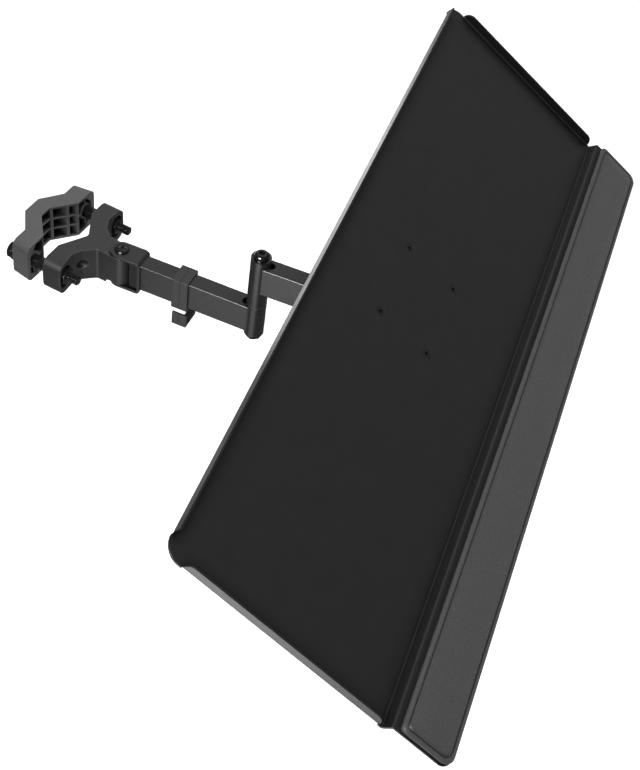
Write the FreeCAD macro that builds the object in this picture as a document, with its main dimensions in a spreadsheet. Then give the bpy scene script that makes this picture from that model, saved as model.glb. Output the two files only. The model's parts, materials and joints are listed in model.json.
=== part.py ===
import FreeCAD, Part
import math
import os
import re

import Sketcher
from FreeCAD import Placement, Rotation, Vector

# Driving dimensions, in millimetres and degrees

SIZES = {
    # Rest pose: each piece's turn about the upright, and the tray's tilt
    "clamp_yaw": -9.5,
    "inner_yaw": -3.5,
    "outer_yaw": -1.8,
    "tray_yaw": 0,
    "tray_tilt": 34.3,
    # Clearances
    "fit_gap": 0.05,
    "hole_gap": 0.3,
    # How far a cut runs past the face it opens, and how far a screw's end stands past its nut
    "cut_past": 1,
    "screw_end": 1,
    # Pole
    "pole_radius": 20,
    "pole_gap": 0.8,
    # Pole clamp, front jaw
    "swivel_reach": 58,
    "jaw_half": 47,
    "jaw_height": 33.5,
    "jaw_drop": 1.5,
    "jaw_corner": 9,
    "wing_thickness": 17,
    "vee_half": 24,
    "vee_depth": 13.5,
    "vee_round": 4,
    "flare_half": 26.8,
    "flare_step": 1.2,
    "waist_half": 18.2,
    "waist_back": 4.2,
    "neck_back": 13.6,
    "neck_round": 4,
    "neck_clear": 0.6,
    "stub_width": 19.4,
    "stub_height": 29.3,
    "dimple_diameter": 9,
    "dimple_depth": 4,
    "dimple_half": 19,
    # Pole clamp, rear jaw
    "rear_half": 48.5,
    "rear_back_half": 46,
    "rear_height": 38,
    "rear_corner": 7,
    "rear_vee_depth": 16.3,
    "rear_wing_thickness": 16.5,
    "rear_flat_half": 5.2,
    "rear_slope_half": 25,
    "rear_crown_half": 9.3,
    "rear_crown_thickness": 14.2,
    "rear_shoulder_half": 28,
    "rear_wall": 2.4,
    "rib": 1.7,
    "rib_middle_half": 7,
    "rib_outer_half": 18,
    "rear_boss": 15,
    "rear_boss_height": 1.5,
    # Clamp bolts
    "bolt_half": 37.5,
    "bolt_diameter": 8,
    "bolt_head_across": 13,
    "bolt_head_height": 5.3,
    "bolt_tip": 10.5,
    "bolt_point": 0.8,
    "nut_height": 6.5,
    "nut_recess": 4,
    "nut_room_half": 11.5,
    "nut_room_side": 7,
    "nut_room_cut": 4.5,
    "nut_room_wall": 2.2,
    "washer_thickness": 1.6,
    "washer_diameter": 16,
    "sleeve_diameter": 11,
    "sleeve_inset": 6,
    "sleeve_end_gap": 0.5,
    "sleeve_counterbore": 5.5,
    # Swivel at the clamp
    "clevis_sheet": 2.4,
    "clevis_width": 19.5,
    "clevis_height": 35,
    "clevis_reach": 21.5,
    "clevis_bend": 4,
    "tube_through": 8,
    "swivel_screw_diameter": 6,
    "swivel_head_diameter": 12.5,
    "swivel_head_height": 2.8,
    "swivel_head_round": 1.9,
    "swivel_bush_diameter": 10,
    "swivel_washer_diameter": 18,
    "swivel_nut_across": 10,
    "swivel_nut_height": 5,
    # Arms
    "arm_length": 125,
    "tube_width": 15.5,
    "tube_height": 28,
    "tube_wall": 1.5,
    "tube_corner": 1.2,
    "weld_notch": 8,
    "inner_tube_level": 0.4,
    "outer_tube_level": 48,
    "barrel_diameter": 17,
    "barrel_bore": 12.4,
    "elbow_rise": 2.6,
    "lower_barrel_height": 33.2,
    "upper_barrel_height": 49.6,
    "elbow_bolt_diameter": 8,
    "elbow_head_diameter": 13,
    "elbow_head_height": 4.6,
    "elbow_head_round": 3.2,
    "elbow_socket": 5,
    "elbow_socket_depth": 2.5,
    "elbow_washer_diameter": 17,
    "elbow_washer_thickness": 1.5,
    "elbow_nut_across": 13,
    "elbow_nut_height": 4,
    "slip_washer": 0.6,
    # Cable clip on the inner arm
    "clip_place": 58.5,
    "clip_width": 14.5,
    "clip_wall": 2,
    "clip_fit": 0.1,
    "hook_web": 7,
    "hook_lip": 13.3,
    "hook_slot": 6,
    "hook_drop": 19.5,
    # Swivel and tilt under the tray
    "pivot_stem": 10,
    "head_radius": 16,
    "head_thickness": 3,
    "tilt_level": 72.5,
    "knuckle_radius": 6,
    "knuckle_half": 17.5,
    "knuckle_inset": 1,
    "pivot_screw_diameter": 6,
    "pivot_screw_head": 10,
    "pivot_screw_head_height": 3.6,
    "pivot_head_round": 1.2,
    "pivot_socket": 4,
    "pivot_socket_depth": 2,
    "pivot_screw_length": 16,
    "pivot_washer_diameter": 17,
    "pivot_slip_diameter": 30,
    "tilt_bolt_diameter": 6,
    "tilt_head_across": 10,
    "tilt_head_height": 4,
    "tilt_nut_height": 5,
    "tilt_washer": 0.8,
    "tilt_washer_diameter": 12,
    # Bracket that carries the tray
    "bracket_sheet": 2,
    "bracket_length": 96,
    "bracket_depth": 70,
    "bracket_corner": 8,
    "bracket_ear_radius": 7,
    "bracket_ear_root": 15,
    "tray_screw_x": 38,
    "tray_screw_y": 25,
    "tray_screw_diameter": 5,
    "tray_screw_head": 9,
    "tray_screw_sink": 1.3,
    "tray_nut_across": 8,
    "tray_nut_height": 4,
    # Tray
    "tray_rise": 8.7,
    "tray_sheet": 1.5,
    "tray_length": 650,
    "tray_back": 89.7,
    "tray_front": 100.1,
    "tray_corner": 14,
    "tray_bend": 1.5,
    "side_lip": 8,
    "side_lip_back": 16,
    "side_lip_front": 3,
    "side_lip_round": 7.5,
    "back_lip": 8.5,
    "back_lip_half": 310,
    "riser_height": 8,
    "riser_run": 3,
    "riser_bend": 1,
    "shelf_depth": 51.6,
    # Wrist rest
    "rest_depth": 47.4,
    "rest_corner": 9,
    "rest_back_corner": 4.5,
    "rest_base": 1.2,
    "rest_base_inset": 1.5,
    "rest_height": 4.5,
    "rest_crown": 1.2,
    # How far the padding is set in: at the foot, half way up, at the welt, past the welt and at the top
    "rest_foot_inset": 1.4,
    "rest_belly_inset": 0.5,
    "rest_welt_inset": 1.3,
    "rest_slope_inset": 4.9,
    "rest_top_inset": 9.8,
    "rest_slope_rise": 0.7,
}

# Document and sheet

doc = FreeCAD.newDocument("pole_mount_keyboard_tray")
sheet = doc.addObject("Spreadsheet::Sheet", "Sizes")
for row, (alias, number) in enumerate(SIZES.items(), start=1):
    sheet.set(f"A{row}", alias)
    sheet.set(f"B{row}", str(number))
    sheet.setAlias(f"B{row}", alias)
doc.recompute()

WORD = re.compile(r"[a-z][a-z0-9_]*")
TOUCH = 0.01
NODES = []


def size(alias):
    """One driving dimension as a plain number."""
    return float(sheet.get(alias))


def bind(thing, path, formula):
    """Tie a property to a formula over the sheet's names."""
    text = WORD.sub(lambda word: "Sizes." + word[0] if word[0] in SIZES else word[0], formula)
    thing.setExpression(path, text)


# Sketches and features


def new_body(label):
    body = doc.addObject("PartDesign::Body", label)
    body.Label = label
    return body


def sketch_on(body, role, offset="0"):
    """A sketch on one of the body's own origin planes, moved along that plane's normal."""
    sketch = body.newObject("Sketcher::SketchObject", body.Name + "_sketch")
    plane = next(item for item in body.Origin.OriginFeatures if item.Role == role)
    sketch.AttachmentSupport = [(plane, "")]
    sketch.MapMode = "FlatFace"
    bind(sketch, "AttachmentOffset.Base.z", offset)
    return sketch


def pin(sketch, item, point, place):
    """Fix a point of a sketch at two formulas."""
    for kind, formula in zip(("DistanceX", "DistanceY"), place):
        index = sketch.addConstraint(Sketcher.Constraint(kind, -1, 1, item, point, 1.0))
        bind(sketch, f"Constraints[{index}]", formula)


def outline(sketch, corners):
    """A closed outline of straight sides through (across, up) corners."""
    first = sketch.GeometryCount
    count = len(corners)
    turn = 2 * math.pi / count
    start = [Vector(math.cos(turn * i), math.sin(turn * i), 0) for i in range(count)]
    for i in range(count):
        sketch.addGeometry(Part.LineSegment(start[i], start[(i + 1) % count]))
    for i in range(count):
        joint = Sketcher.Constraint("Coincident", first + i, 2, first + (i + 1) % count, 1)
        sketch.addConstraint(joint)
        pin(sketch, first + i, 1, corners[i])


def box_outline(sketch, left, right, low, high):
    outline(sketch, [(left, low), (right, low), (right, high), (left, high)])


def circle(sketch, centre, diameter):
    item = sketch.addGeometry(Part.Circle(Vector(0, 0, 0), Vector(0, 0, 1), 1.0))
    pin(sketch, item, 3, centre)
    index = sketch.addConstraint(Sketcher.Constraint("Radius", item, 1.0))
    bind(sketch, f"Constraints[{index}]", f"({diameter}) / 2")


def hexagon(sketch, centre, across):
    """A hexagon given by its width across flats."""
    reach = f"({across}) / 2 / cos(30 deg)"
    corners = []
    for angle in range(30, 390, 60):
        over = f"{centre[0]} + {reach} * cos({angle} deg)"
        up = f"{centre[1]} + {reach} * sin({angle} deg)"
        corners.append((over, up))
    outline(sketch, corners)


def both_sides(half):
    """A closed outline from its right half, listed from one end of the middle line to the other."""
    return half + sided("-", [corner for corner in reversed(half) if corner[0] != "0"])


def sided(side, corners):
    """Corners on the right as they are, or mirrored to the left where the side is a minus."""
    return [(f"{side}({over})", up) for over, up in corners]


# The plane square to each axis, and whether a pad from it needs turning to run up the axis
SQUARE_TO = {"X": ("YZ_Plane", "", False), "Y": ("XZ_Plane", "-", True), "Z": ("XY_Plane", "", False)}


def square_sketch(body, axis, place):
    """A sketch square to an axis, at a place along it."""
    role, sign, _ = SQUARE_TO[axis]
    return sketch_on(body, role, f"{sign}({place})")


def prism(body, axis, low, high, draw):
    """Add a drawn outline to the body, from one place to another along an axis."""
    sketch = square_sketch(body, axis, low)
    draw(sketch)
    feature = body.newObject("PartDesign::Pad", body.Name + "_pad")
    feature.Profile = sketch
    feature.Reversed = SQUARE_TO[axis][2]
    bind(feature, "Length", f"({high}) - ({low})")
    body.Tip = feature


def cut(body, axis, low, high, draw):
    """Cut a drawn outline out of the body, from one place to another along an axis."""
    sketch = square_sketch(body, axis, low)
    draw(sketch)
    feature = body.newObject("PartDesign::Pocket", body.Name + "_pocket")
    feature.Profile = sketch
    feature.Reversed = not SQUARE_TO[axis][2]
    bind(feature, "Length", f"({high}) - ({low})")
    body.Tip = feature


def turned(body, axis, centre, profile, kind="Revolution"):
    """A turned solid about an axis from (radius, place) corners, or with Groove the same shape cut out."""
    if axis == "Y":
        sketch = sketch_on(body, "XY_Plane", centre[1])
    elif axis == "Z":
        sketch = sketch_on(body, "XZ_Plane", f"-({centre[1]})")
    else:
        sketch = sketch_on(body, "XZ_Plane", f"-({centre[0]})")
    line = sketch.addGeometry(Part.LineSegment(Vector(0, 0, 0), Vector(1, 1, 0)), True)
    if axis == "X":
        ends = [("0", centre[1]), ("1", centre[1])]
        corners = [(place, f"{centre[1]} + {radius}") for radius, place in profile]
    else:
        ends = [(centre[0], "0"), (centre[0], "1")]
        corners = [(f"{centre[0]} + {radius}", place) for radius, place in profile]
    pin(sketch, line, 1, ends[0])
    pin(sketch, line, 2, ends[1])
    outline(sketch, corners)
    feature = body.newObject(f"PartDesign::{kind}", body.Name + "_turned")
    feature.Profile = sketch
    feature.ReferenceAxis = (sketch, ["Axis0"])
    feature.Angle = 360
    body.Tip = feature


def ring(body, axis, centre, bore, outside, low, high):
    """A plain ring: a bush, washer, spacer or barrel."""
    inner = f"({bore}) / 2"
    outer = f"({outside}) / 2"
    turned(body, axis, centre, [(inner, low), (outer, low), (outer, high), (inner, high)])


def round_edges(body, radius, wanted):
    """Fillet the edges of the body so far that pass a test."""
    doc.recompute()
    last = body.Tip
    names = [f"Edge{i}" for i, edge in enumerate(last.Shape.Edges, start=1) if wanted(edge)]
    feature = body.newObject("PartDesign::Fillet", body.Name + "_fillet")
    feature.Base = (last, names)
    bind(feature, "Radius", radius)
    body.Tip = feature


def runs_along(edge, axis):
    """Whether a straight edge runs along an axis: 0 for X, 1 for Y, 2 for Z."""
    if edge.Curve.TypeId != "Part::GeomLine":
        return False
    return all(abs(edge.Curve.Direction[k]) < TOUCH for k in range(3) if k != axis)


def top_rim(body, diameter):
    """A test for the round edge of a given diameter at the body's highest level."""
    doc.recompute()
    level = body.Tip.Shape.BoundBox.ZMax

    def wanted(edge):
        if edge.Curve.TypeId != "Part::GeomCircle" or abs(edge.BoundBox.ZMin - level) > TOUCH:
            return False
        return abs(2 * edge.Curve.Radius - size(diameter)) < TOUCH

    return wanted


def outer_edges(body, along, others):
    """A test for straight edges along one axis that lie at the body's outermost places on others."""
    doc.recompute()
    box = body.Tip.Shape.BoundBox
    ends = {0: (box.XMin, box.XMax), 1: (box.YMin, box.YMax), 2: (box.ZMin, box.ZMax)}

    def wanted(edge):
        if not runs_along(edge, along):
            return False
        middle = edge.CenterOfMass
        return all(min(abs(middle[k] - end) for end in ends[k]) < TOUCH for k in others)

    return wanted


# Places of the pieces

UP = Vector(0, 0, 1)


def turn_z(angle):
    return Rotation(UP, angle)


def arm_end(start, yaw):
    """The far end of an arm that leaves its start towards the user."""
    return start + turn_z(yaw).multVec(Vector(0, -size("arm_length"), 0))


CLAMP = Placement(Vector(0, 0, 0), turn_z(size("clamp_yaw")))
SWIVEL_POINT = CLAMP.multVec(Vector(0, -size("swivel_reach"), 0))
ELBOW_POINT = arm_end(SWIVEL_POINT, size("inner_yaw"))
PIVOT_POINT = arm_end(ELBOW_POINT, size("outer_yaw"))
INNER = Placement(SWIVEL_POINT, turn_z(size("inner_yaw")))
OUTER = Placement(ELBOW_POINT, turn_z(size("outer_yaw")))
HEAD = Placement(PIVOT_POINT, turn_z(size("tray_yaw")))
TILT = Placement(Vector(0, 0, size("tilt_level")), Rotation(Vector(1, 0, 0), size("tray_tilt")))
TRAY = HEAD * TILT


def node(piece, place):
    """Set a finished sub-part in its place and list it."""
    piece.Placement = place
    NODES.append(piece)


def node_of(label, pieces, place):
    """Several like pieces kept as one sub-part of separate solids."""
    group = doc.addObject("Part::Compound", label)
    group.Label = label
    group.Links = pieces
    node(group, place)


# Formulas that several pieces share

JAW_FACE = "vee_depth - (pole_radius + pole_gap) / cos(atan(vee_depth / vee_half))"
JAW_FRONT = f"{JAW_FACE} - wing_thickness"
FLARE = f"{JAW_FRONT} + flare_step"
NECK = f"{FLARE} - neck_back"
JAW_LOW = "(-jaw_height / 2 - jaw_drop)"
JAW_HIGH = "(jaw_height / 2 - jaw_drop)"
NUT_SEAT = f"{JAW_FRONT} + nut_recess"
REAR_FLAT = "pole_radius + pole_gap"
REAR_FACE = f"{REAR_FLAT} - rear_vee_depth"
REAR_BACK = f"{REAR_FACE} + rear_wing_thickness"
BOSS_BACK = f"{REAR_BACK} + rear_boss_height"
STUB = "stub_height / 2"
CLEVIS = "clevis_height / 2"
CLEVIS_INSIDE = "(clevis_height / 2 - clevis_sheet)"
SWIVEL_AXIS = ("0", "-swivel_reach")
ELBOW_LINE = "(inner_tube_level + tube_height / 2 + elbow_rise)"
BARREL_FOOT = f"({ELBOW_LINE} - lower_barrel_height)"
BARREL_TOP = f"({ELBOW_LINE} + upper_barrel_height)"
OUTER_LOW = "(outer_tube_level - tube_height / 2)"
OUTER_HIGH = "(outer_tube_level + tube_height / 2)"
ARM_END = "-arm_length"
TRAY_TOP = "(tray_rise + tray_sheet)"
SHELF_TOP = f"({TRAY_TOP} + riser_height)"
SHELF_FRONT = "(tray_front + riser_run + shelf_depth)"

# Pole clamp


VEE_SLOPE = math.atan(size("vee_depth") / size("vee_half"))
FACE_PLACE = size("vee_depth") - (size("pole_radius") + size("pole_gap")) / math.cos(VEE_SLOPE)
FLARE_PLACE = FACE_PLACE - size("wing_thickness") + size("flare_step")


def front_jaw():
    """The jaw on the arm's side: a V for the pole, two wings for the bolts, a neck to the swivel."""
    body = new_body("front_jaw")
    half = [
        ("0", f"{JAW_FACE} - vee_depth"),
        ("vee_half", JAW_FACE),
        ("jaw_half", JAW_FACE),
        ("jaw_half", JAW_FRONT),
        ("flare_half", FLARE),
        ("waist_half", f"{FLARE} - waist_back"),
        ("stub_width / 2", NECK),
        ("stub_width / 2", "clevis_width / 2 + neck_clear - swivel_reach"),
    ]
    prism(body, "Z", JAW_LOW, JAW_HIGH, lambda s: outline(s, both_sides(half)))
    box = outer_edges(body, 1, (0, 2))
    round_edges(body, "jaw_corner", box)
    round_edges(body, "vee_round", lambda e: runs_along(e, 2) and abs(e.CenterOfMass.x) < TOUCH)
    round_edges(body, "neck_round", lambda e: runs_along(e, 2) and at_neck(e))
    neck = f"{NECK} - neck_round"
    prism(body, "Z", f"-{STUB}", STUB, lambda s: box_outline(
        s, "-stub_width / 2", "stub_width / 2", "-swivel_reach", neck))
    prism(body, "Z", f"-{STUB}", STUB, lambda s: circle(s, SWIVEL_AXIS, "stub_width"))
    bush_hole = "swivel_bush_diameter + 2 * fit_gap"
    cut(body, "Z", "-jaw_height", "jaw_height", lambda s: circle(s, SWIVEL_AXIS, bush_hole))
    room_in = "bolt_half - nut_room_side"
    room_out = "jaw_half - nut_room_wall"
    room_low = "(-nut_room_half - jaw_drop)"
    room_high = "(nut_room_half - jaw_drop)"
    room = [
        (room_in, f"{room_low} + nut_room_cut"), (f"{room_in} + nut_room_cut", room_low),
        (f"{room_out} - nut_room_cut", room_low), (room_out, f"{room_low} + nut_room_cut"),
        (room_out, f"{room_high} - nut_room_cut"), (f"{room_out} - nut_room_cut", room_high),
        (f"{room_in} + nut_room_cut", room_high), (room_in, f"{room_high} - nut_room_cut"),
    ]
    through = "bolt_diameter + 2 * hole_gap"
    sleeve = "sleeve_diameter + 2 * hole_gap"
    for side in ("-", ""):
        bolt = (f"{side}bolt_half", "0")
        dimple = (f"{side}dimple_half", "0")
        cut(body, "Y", "-swivel_reach", JAW_FACE, lambda s: circle(s, bolt, through))
        cut(body, "Y", f"{JAW_FACE} - sleeve_counterbore", JAW_FACE, lambda s: circle(s, bolt, sleeve))
        cut(body, "Y", "-swivel_reach", NUT_SEAT, lambda s: outline(s, sided(side, room)))
        cut(body, "Y", "-swivel_reach", f"{FLARE} - waist_back + dimple_depth",
            lambda s: circle(s, dimple, "dimple_diameter"))
    node(body, CLAMP)


def at_neck(edge):
    """The two inside corners where the neck leaves the jaw."""
    middle = edge.CenterOfMass
    front = FLARE_PLACE - size("neck_back")
    return abs(abs(middle.x) - size("stub_width") / 2) < TOUCH and abs(middle.y - front) < TOUCH


def rear_jaw():
    """The loose jaw: a moulded shell, ribbed in a grid on the pole's side, with a boss at each bolt."""
    body = new_body("rear_jaw")
    half = [
        ("0", REAR_FLAT),
        ("rear_flat_half", REAR_FLAT),
        ("rear_slope_half", REAR_FACE),
        ("rear_half", REAR_FACE),
        ("rear_back_half", REAR_BACK),
        ("rear_shoulder_half", REAR_BACK),
        ("rear_crown_half", f"{REAR_FLAT} + rear_crown_thickness"),
        ("0", f"{REAR_FLAT} + rear_crown_thickness"),
    ]
    prism(body, "Z", "-rear_height / 2", "rear_height / 2", lambda s: outline(s, both_sides(half)))
    round_edges(body, "rear_corner", at_wing_end)
    for side in ("-", ""):
        bolt = (f"{side}bolt_half", "0")
        prism(body, "Y", REAR_BACK, BOSS_BACK, lambda s: circle(s, bolt, "rear_boss"))

    # The grid: three rows of pockets, in columns whose floors step back with the crown
    row = "(rear_height / 2 - rear_wall)"
    rows = [(f"-{row}", f"-{row} / 3 - rib / 2"), (f"-{row} / 3 + rib / 2", f"{row} / 3 - rib / 2")]
    rows.append((f"{row} / 3 + rib / 2", row))
    crown_floor = f"{REAR_FLAT} + rear_crown_thickness - rear_wall"
    wing_floor = f"{REAR_BACK} - rear_wall"
    columns = [
        ("-rib_middle_half + rib / 2", "rib_middle_half - rib / 2", crown_floor),
        ("rib_middle_half + rib / 2", "rib_outer_half - rib / 2", f"({crown_floor} + {wing_floor}) / 2"),
        ("rib_outer_half + rib / 2", "rear_slope_half - rib / 2", wing_floor),
    ]

    def grid(sketch, left, right, sides):
        for side in sides:
            for low, high in rows:
                outline(sketch, sided(side, [(left, low), (right, low), (right, high), (left, high)]))

    for left, right, floor in columns:
        sides = ("",) if left.startswith("-") else ("-", "")
        cut(body, "Y", "0", floor, lambda s: grid(s, left, right, sides))

    # A hollow round each boss in the wings
    wing_in = "rear_slope_half + rib / 2"
    wing_out = "rear_back_half - rear_wall"
    corner = "rear_corner - rear_wall / 2"
    hollow = [
        (wing_in, f"-{row}"),
        (f"{wing_out} - {corner}", f"-{row}"),
        (wing_out, f"-{row} + {corner}"),
        (wing_out, f"{row} - {corner}"),
        (f"{wing_out} - {corner}", row),
        (wing_in, row),
    ]

    def hollows(sketch):
        for side in ("-", ""):
            outline(sketch, sided(side, hollow))

    cut(body, "Y", "0", wing_floor, hollows)
    through = "bolt_diameter + 2 * hole_gap"
    sleeve = "sleeve_diameter + 2 * fit_gap"
    for side in ("-", ""):
        bolt = (f"{side}bolt_half", "0")
        across = [("bolt_half - rib / 2", f"-{row} - rib"), ("bolt_half + rib / 2", f"-{row} - rib")]
        across += [("bolt_half + rib / 2", f"{row} + rib"), ("bolt_half - rib / 2", f"{row} + rib")]
        along = [("rear_slope_half", "-rib / 2"), (wing_out + " + rib", "-rib / 2")]
        along += [(wing_out + " + rib", "rib / 2"), ("rear_slope_half", "rib / 2")]
        rib_face = f"{REAR_FACE} + rib"
        prism(body, "Y", rib_face, f"{wing_floor} + rib / 2", lambda s: outline(s, sided(side, across)))
        prism(body, "Y", rib_face, f"{wing_floor} + rib / 2", lambda s: outline(s, sided(side, along)))
        prism(body, "Y", rib_face, f"{REAR_BACK} - rib / 2", lambda s: circle(s, bolt, "rear_boss"))
        cut(body, "Y", "0", f"{BOSS_BACK} + cut_past", lambda s: circle(s, bolt, through))
        cut(body, "Y", "0", f"{REAR_FACE} + sleeve_inset", lambda s: circle(s, bolt, sleeve))
    node(body, CLAMP)


def at_wing_end(edge):
    """The rear jaw's four slanting end edges, top and bottom."""
    middle = edge.CenterOfMass
    out = (size("rear_half") + size("rear_back_half")) / 2
    return abs(abs(middle.x) - out) < TOUCH and abs(abs(middle.z) - size("rear_height") / 2) < TOUCH


def clamp_hardware():
    """Two hexagon bolts with washers, nuts and the sleeves that keep the jaws parallel."""
    kinds = {"clamp_bolts": [], "clamp_washers": [], "clamp_nuts": [], "clamp_sleeves": []}
    seat = f"{BOSS_BACK} + washer_thickness"
    for side in ("-", ""):
        bolt = (f"{side}bolt_half", "0")
        bodies = {kind: new_body(kind + "_piece") for kind in kinds}
        shank = "bolt_diameter / 2"
        tip = f"{NUT_SEAT} - nut_height - bolt_tip"
        turned(bodies["clamp_bolts"], "Y", bolt, [
            ("0", tip), (f"{shank} - bolt_point", tip), (shank, f"{tip} + bolt_point"), (shank, seat),
            ("0", seat)])
        prism(bodies["clamp_bolts"], "Y", seat, f"{seat} + bolt_head_height",
              lambda s: hexagon(s, bolt, "bolt_head_across"))
        ring(bodies["clamp_washers"], "Y", bolt, "bolt_diameter + 2 * fit_gap", "washer_diameter",
             BOSS_BACK, seat)
        prism(bodies["clamp_nuts"], "Y", f"{NUT_SEAT} - nut_height", NUT_SEAT,
              lambda s: hexagon(s, bolt, "bolt_head_across"))
        cut(bodies["clamp_nuts"], "Y", f"{NUT_SEAT} - 2 * nut_height", f"{NUT_SEAT} + cut_past",
            lambda s: circle(s, bolt, "bolt_diameter + 2 * fit_gap"))
        ring(bodies["clamp_sleeves"], "Y", bolt, "bolt_diameter + 2 * fit_gap", "sleeve_diameter",
             f"{JAW_FACE} + sleeve_end_gap", f"{REAR_FACE} + sleeve_inset")
        for kind, piece in bodies.items():
            kinds[kind].append(piece)
    for kind, pieces in kinds.items():
        node_of(kind, pieces, CLAMP)


# Swivel at the clamp


def clevis():
    """A folded bracket on the end of the inner arm, its two flanges over and under the jaw's neck."""
    body = new_body("clevis")
    reach = "clevis_width / 2"
    outside = [
        (reach, CLEVIS), ("-clevis_reach", CLEVIS), ("-clevis_reach", f"-{CLEVIS}"), (reach, f"-{CLEVIS}"),
        (reach, f"-{CLEVIS_INSIDE}"), ("clevis_sheet - clevis_reach", f"-{CLEVIS_INSIDE}"),
        ("clevis_sheet - clevis_reach", CLEVIS_INSIDE), (reach, CLEVIS_INSIDE),
    ]
    prism(body, "X", "-clevis_width / 2", "clevis_width / 2", lambda s: outline(s, outside))
    box = outer_edges(body, 0, (1, 2))
    round_edges(body, "clevis_bend", lambda e: box(e) and e.CenterOfMass.y < 0)
    round_edges(body, "clevis_bend - clevis_sheet", lambda e: runs_along(e, 0) and inside_bend(e))
    round_edges(body, "clevis_width / 2 - fit_gap", lambda e: runs_along(e, 2) and e.CenterOfMass.y > 0)
    screw = "swivel_screw_diameter + 2 * fit_gap"
    cut(body, "Z", "-clevis_height", "clevis_height", lambda s: circle(s, ("0", "0"), screw))
    side = "(tube_width / 2 + fit_gap)"
    low = "inner_tube_level - tube_height / 2 - fit_gap"
    high = "inner_tube_level + tube_height / 2 + fit_gap"
    cut(body, "Y", "-clevis_reach - cut_past", "clevis_sheet - clevis_reach + cut_past",
        lambda s: box_outline(s, f"-{side}", side, low, high))
    node(body, INNER)


def inside_bend(edge):
    """The clevis's inner fold lines."""
    return abs(edge.CenterOfMass.y - size("clevis_sheet") + size("clevis_reach")) < TOUCH


def swivel_hardware():
    """Pan-head screw, lock nut, bush in the neck and a thin washer over and under it."""
    axis = ("0", "0")
    shank = "swivel_screw_diameter / 2"
    rim = "swivel_head_diameter / 2"
    foot = f"-{CLEVIS} - swivel_nut_height - screw_end"
    top = f"{CLEVIS} + swivel_head_height"
    screw = new_body("swivel_screw")
    turned(screw, "Z", axis, [
        ("0", foot), (shank, foot), (shank, CLEVIS), (rim, CLEVIS), (rim, top), ("0", top)])
    round_edges(screw, "swivel_head_round", top_rim(screw, "swivel_head_diameter"))
    node(screw, INNER)
    bore = "swivel_screw_diameter + 2 * fit_gap"
    nut = new_body("swivel_nut")
    prism(nut, "Z", f"-{CLEVIS} - swivel_nut_height", f"-{CLEVIS}",
          lambda s: hexagon(s, axis, "swivel_nut_across"))
    cut(nut, "Z", f"-{CLEVIS} - 2 * swivel_nut_height", "0", lambda s: circle(s, axis, bore))
    node(nut, INNER)
    washers = []
    for low, high in ((STUB, CLEVIS_INSIDE), (f"-{CLEVIS_INSIDE}", f"-{STUB}")):
        washer = new_body("swivel_washer")
        ring(washer, "Z", axis, bore, "swivel_washer_diameter", low, high)
        washers.append(washer)
    node_of("swivel_washers", washers, INNER)
    bush = new_body("swivel_bush")
    ring(bush, "Z", SWIVEL_AXIS, bore, "swivel_bush_diameter", f"-{STUB}", STUB)
    node(bush, CLAMP)


# Arms


def arm_tube(label, level, near, far, saddles, notch, place):
    """A rectangular tube, hollowed to sit on its barrels, with a round welding notch in its top wall."""
    body = new_body(label)
    low = f"{level} - tube_height / 2"
    high = f"{level} + tube_height / 2"
    prism(body, "Y", far, near, lambda s: box_outline(s, "-tube_width / 2", "tube_width / 2", low, high))
    round_edges(body, "tube_corner", outer_edges(body, 1, (0, 2)))
    wall = "(tube_width / 2 - tube_wall)"
    cut(body, "Y", f"{far} - cut_past", f"{near} + cut_past", lambda s: box_outline(
        s, f"-{wall}", wall, f"{low} + tube_wall", f"{high} - tube_wall"))
    for saddle in saddles:
        cut(body, "Z", f"{low} - cut_past", f"{high} + cut_past", lambda s: circle(
            s, ("0", saddle), "barrel_diameter + 2 * fit_gap"))
    cut(body, "Z", f"{high} - tube_wall - cut_past", f"{high} + cut_past", lambda s: circle(
        s, ("0", notch), "weld_notch"))
    node(body, place)


def barrel(label, centre, low, high, place):
    body = new_body(label)
    ring(body, "Z", centre, "barrel_bore", "barrel_diameter", low, high)
    node(body, place)


def bush(label, centre, bore, low, high, place):
    body = new_body(label)
    ring(body, "Z", centre, f"{bore} + 2 * fit_gap", "barrel_bore - 2 * fit_gap", low, high)
    node(body, place)


def inner_arm():
    """The lower arm: from the clevis to the lower barrel of the elbow."""
    start = "clevis_sheet - clevis_reach + tube_through"
    arm_tube("inner_tube", "inner_tube_level", start, f"{ARM_END} + barrel_diameter / 4", [ARM_END],
             f"{ARM_END} + barrel_diameter / 2", INNER)
    elbow = ("0", ARM_END)
    top = f"{ELBOW_LINE} - slip_washer / 2"
    barrel("lower_barrel", elbow, BARREL_FOOT, top, INNER)
    bush("lower_bush", elbow, "elbow_bolt_diameter", BARREL_FOOT, top, INNER)


def outer_arm():
    """The upper arm: from the elbow's upper barrel to the barrel under the tray."""
    near = "-barrel_diameter / 4"
    arm_tube("outer_tube", "outer_tube_level", near, f"{ARM_END} + barrel_diameter / 4", ["0", ARM_END],
             "-barrel_diameter / 2", OUTER)
    elbow = ("0", "0")
    low = f"{ELBOW_LINE} + slip_washer / 2"
    barrel("upper_barrel", elbow, low, BARREL_TOP, OUTER)
    bush("upper_bush", elbow, "elbow_bolt_diameter", low, BARREL_TOP, OUTER)
    end = ("0", ARM_END)
    barrel("end_barrel", end, OUTER_LOW, OUTER_HIGH, OUTER)
    bush("end_bush", end, "pivot_stem", OUTER_LOW, OUTER_HIGH, OUTER)


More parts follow.
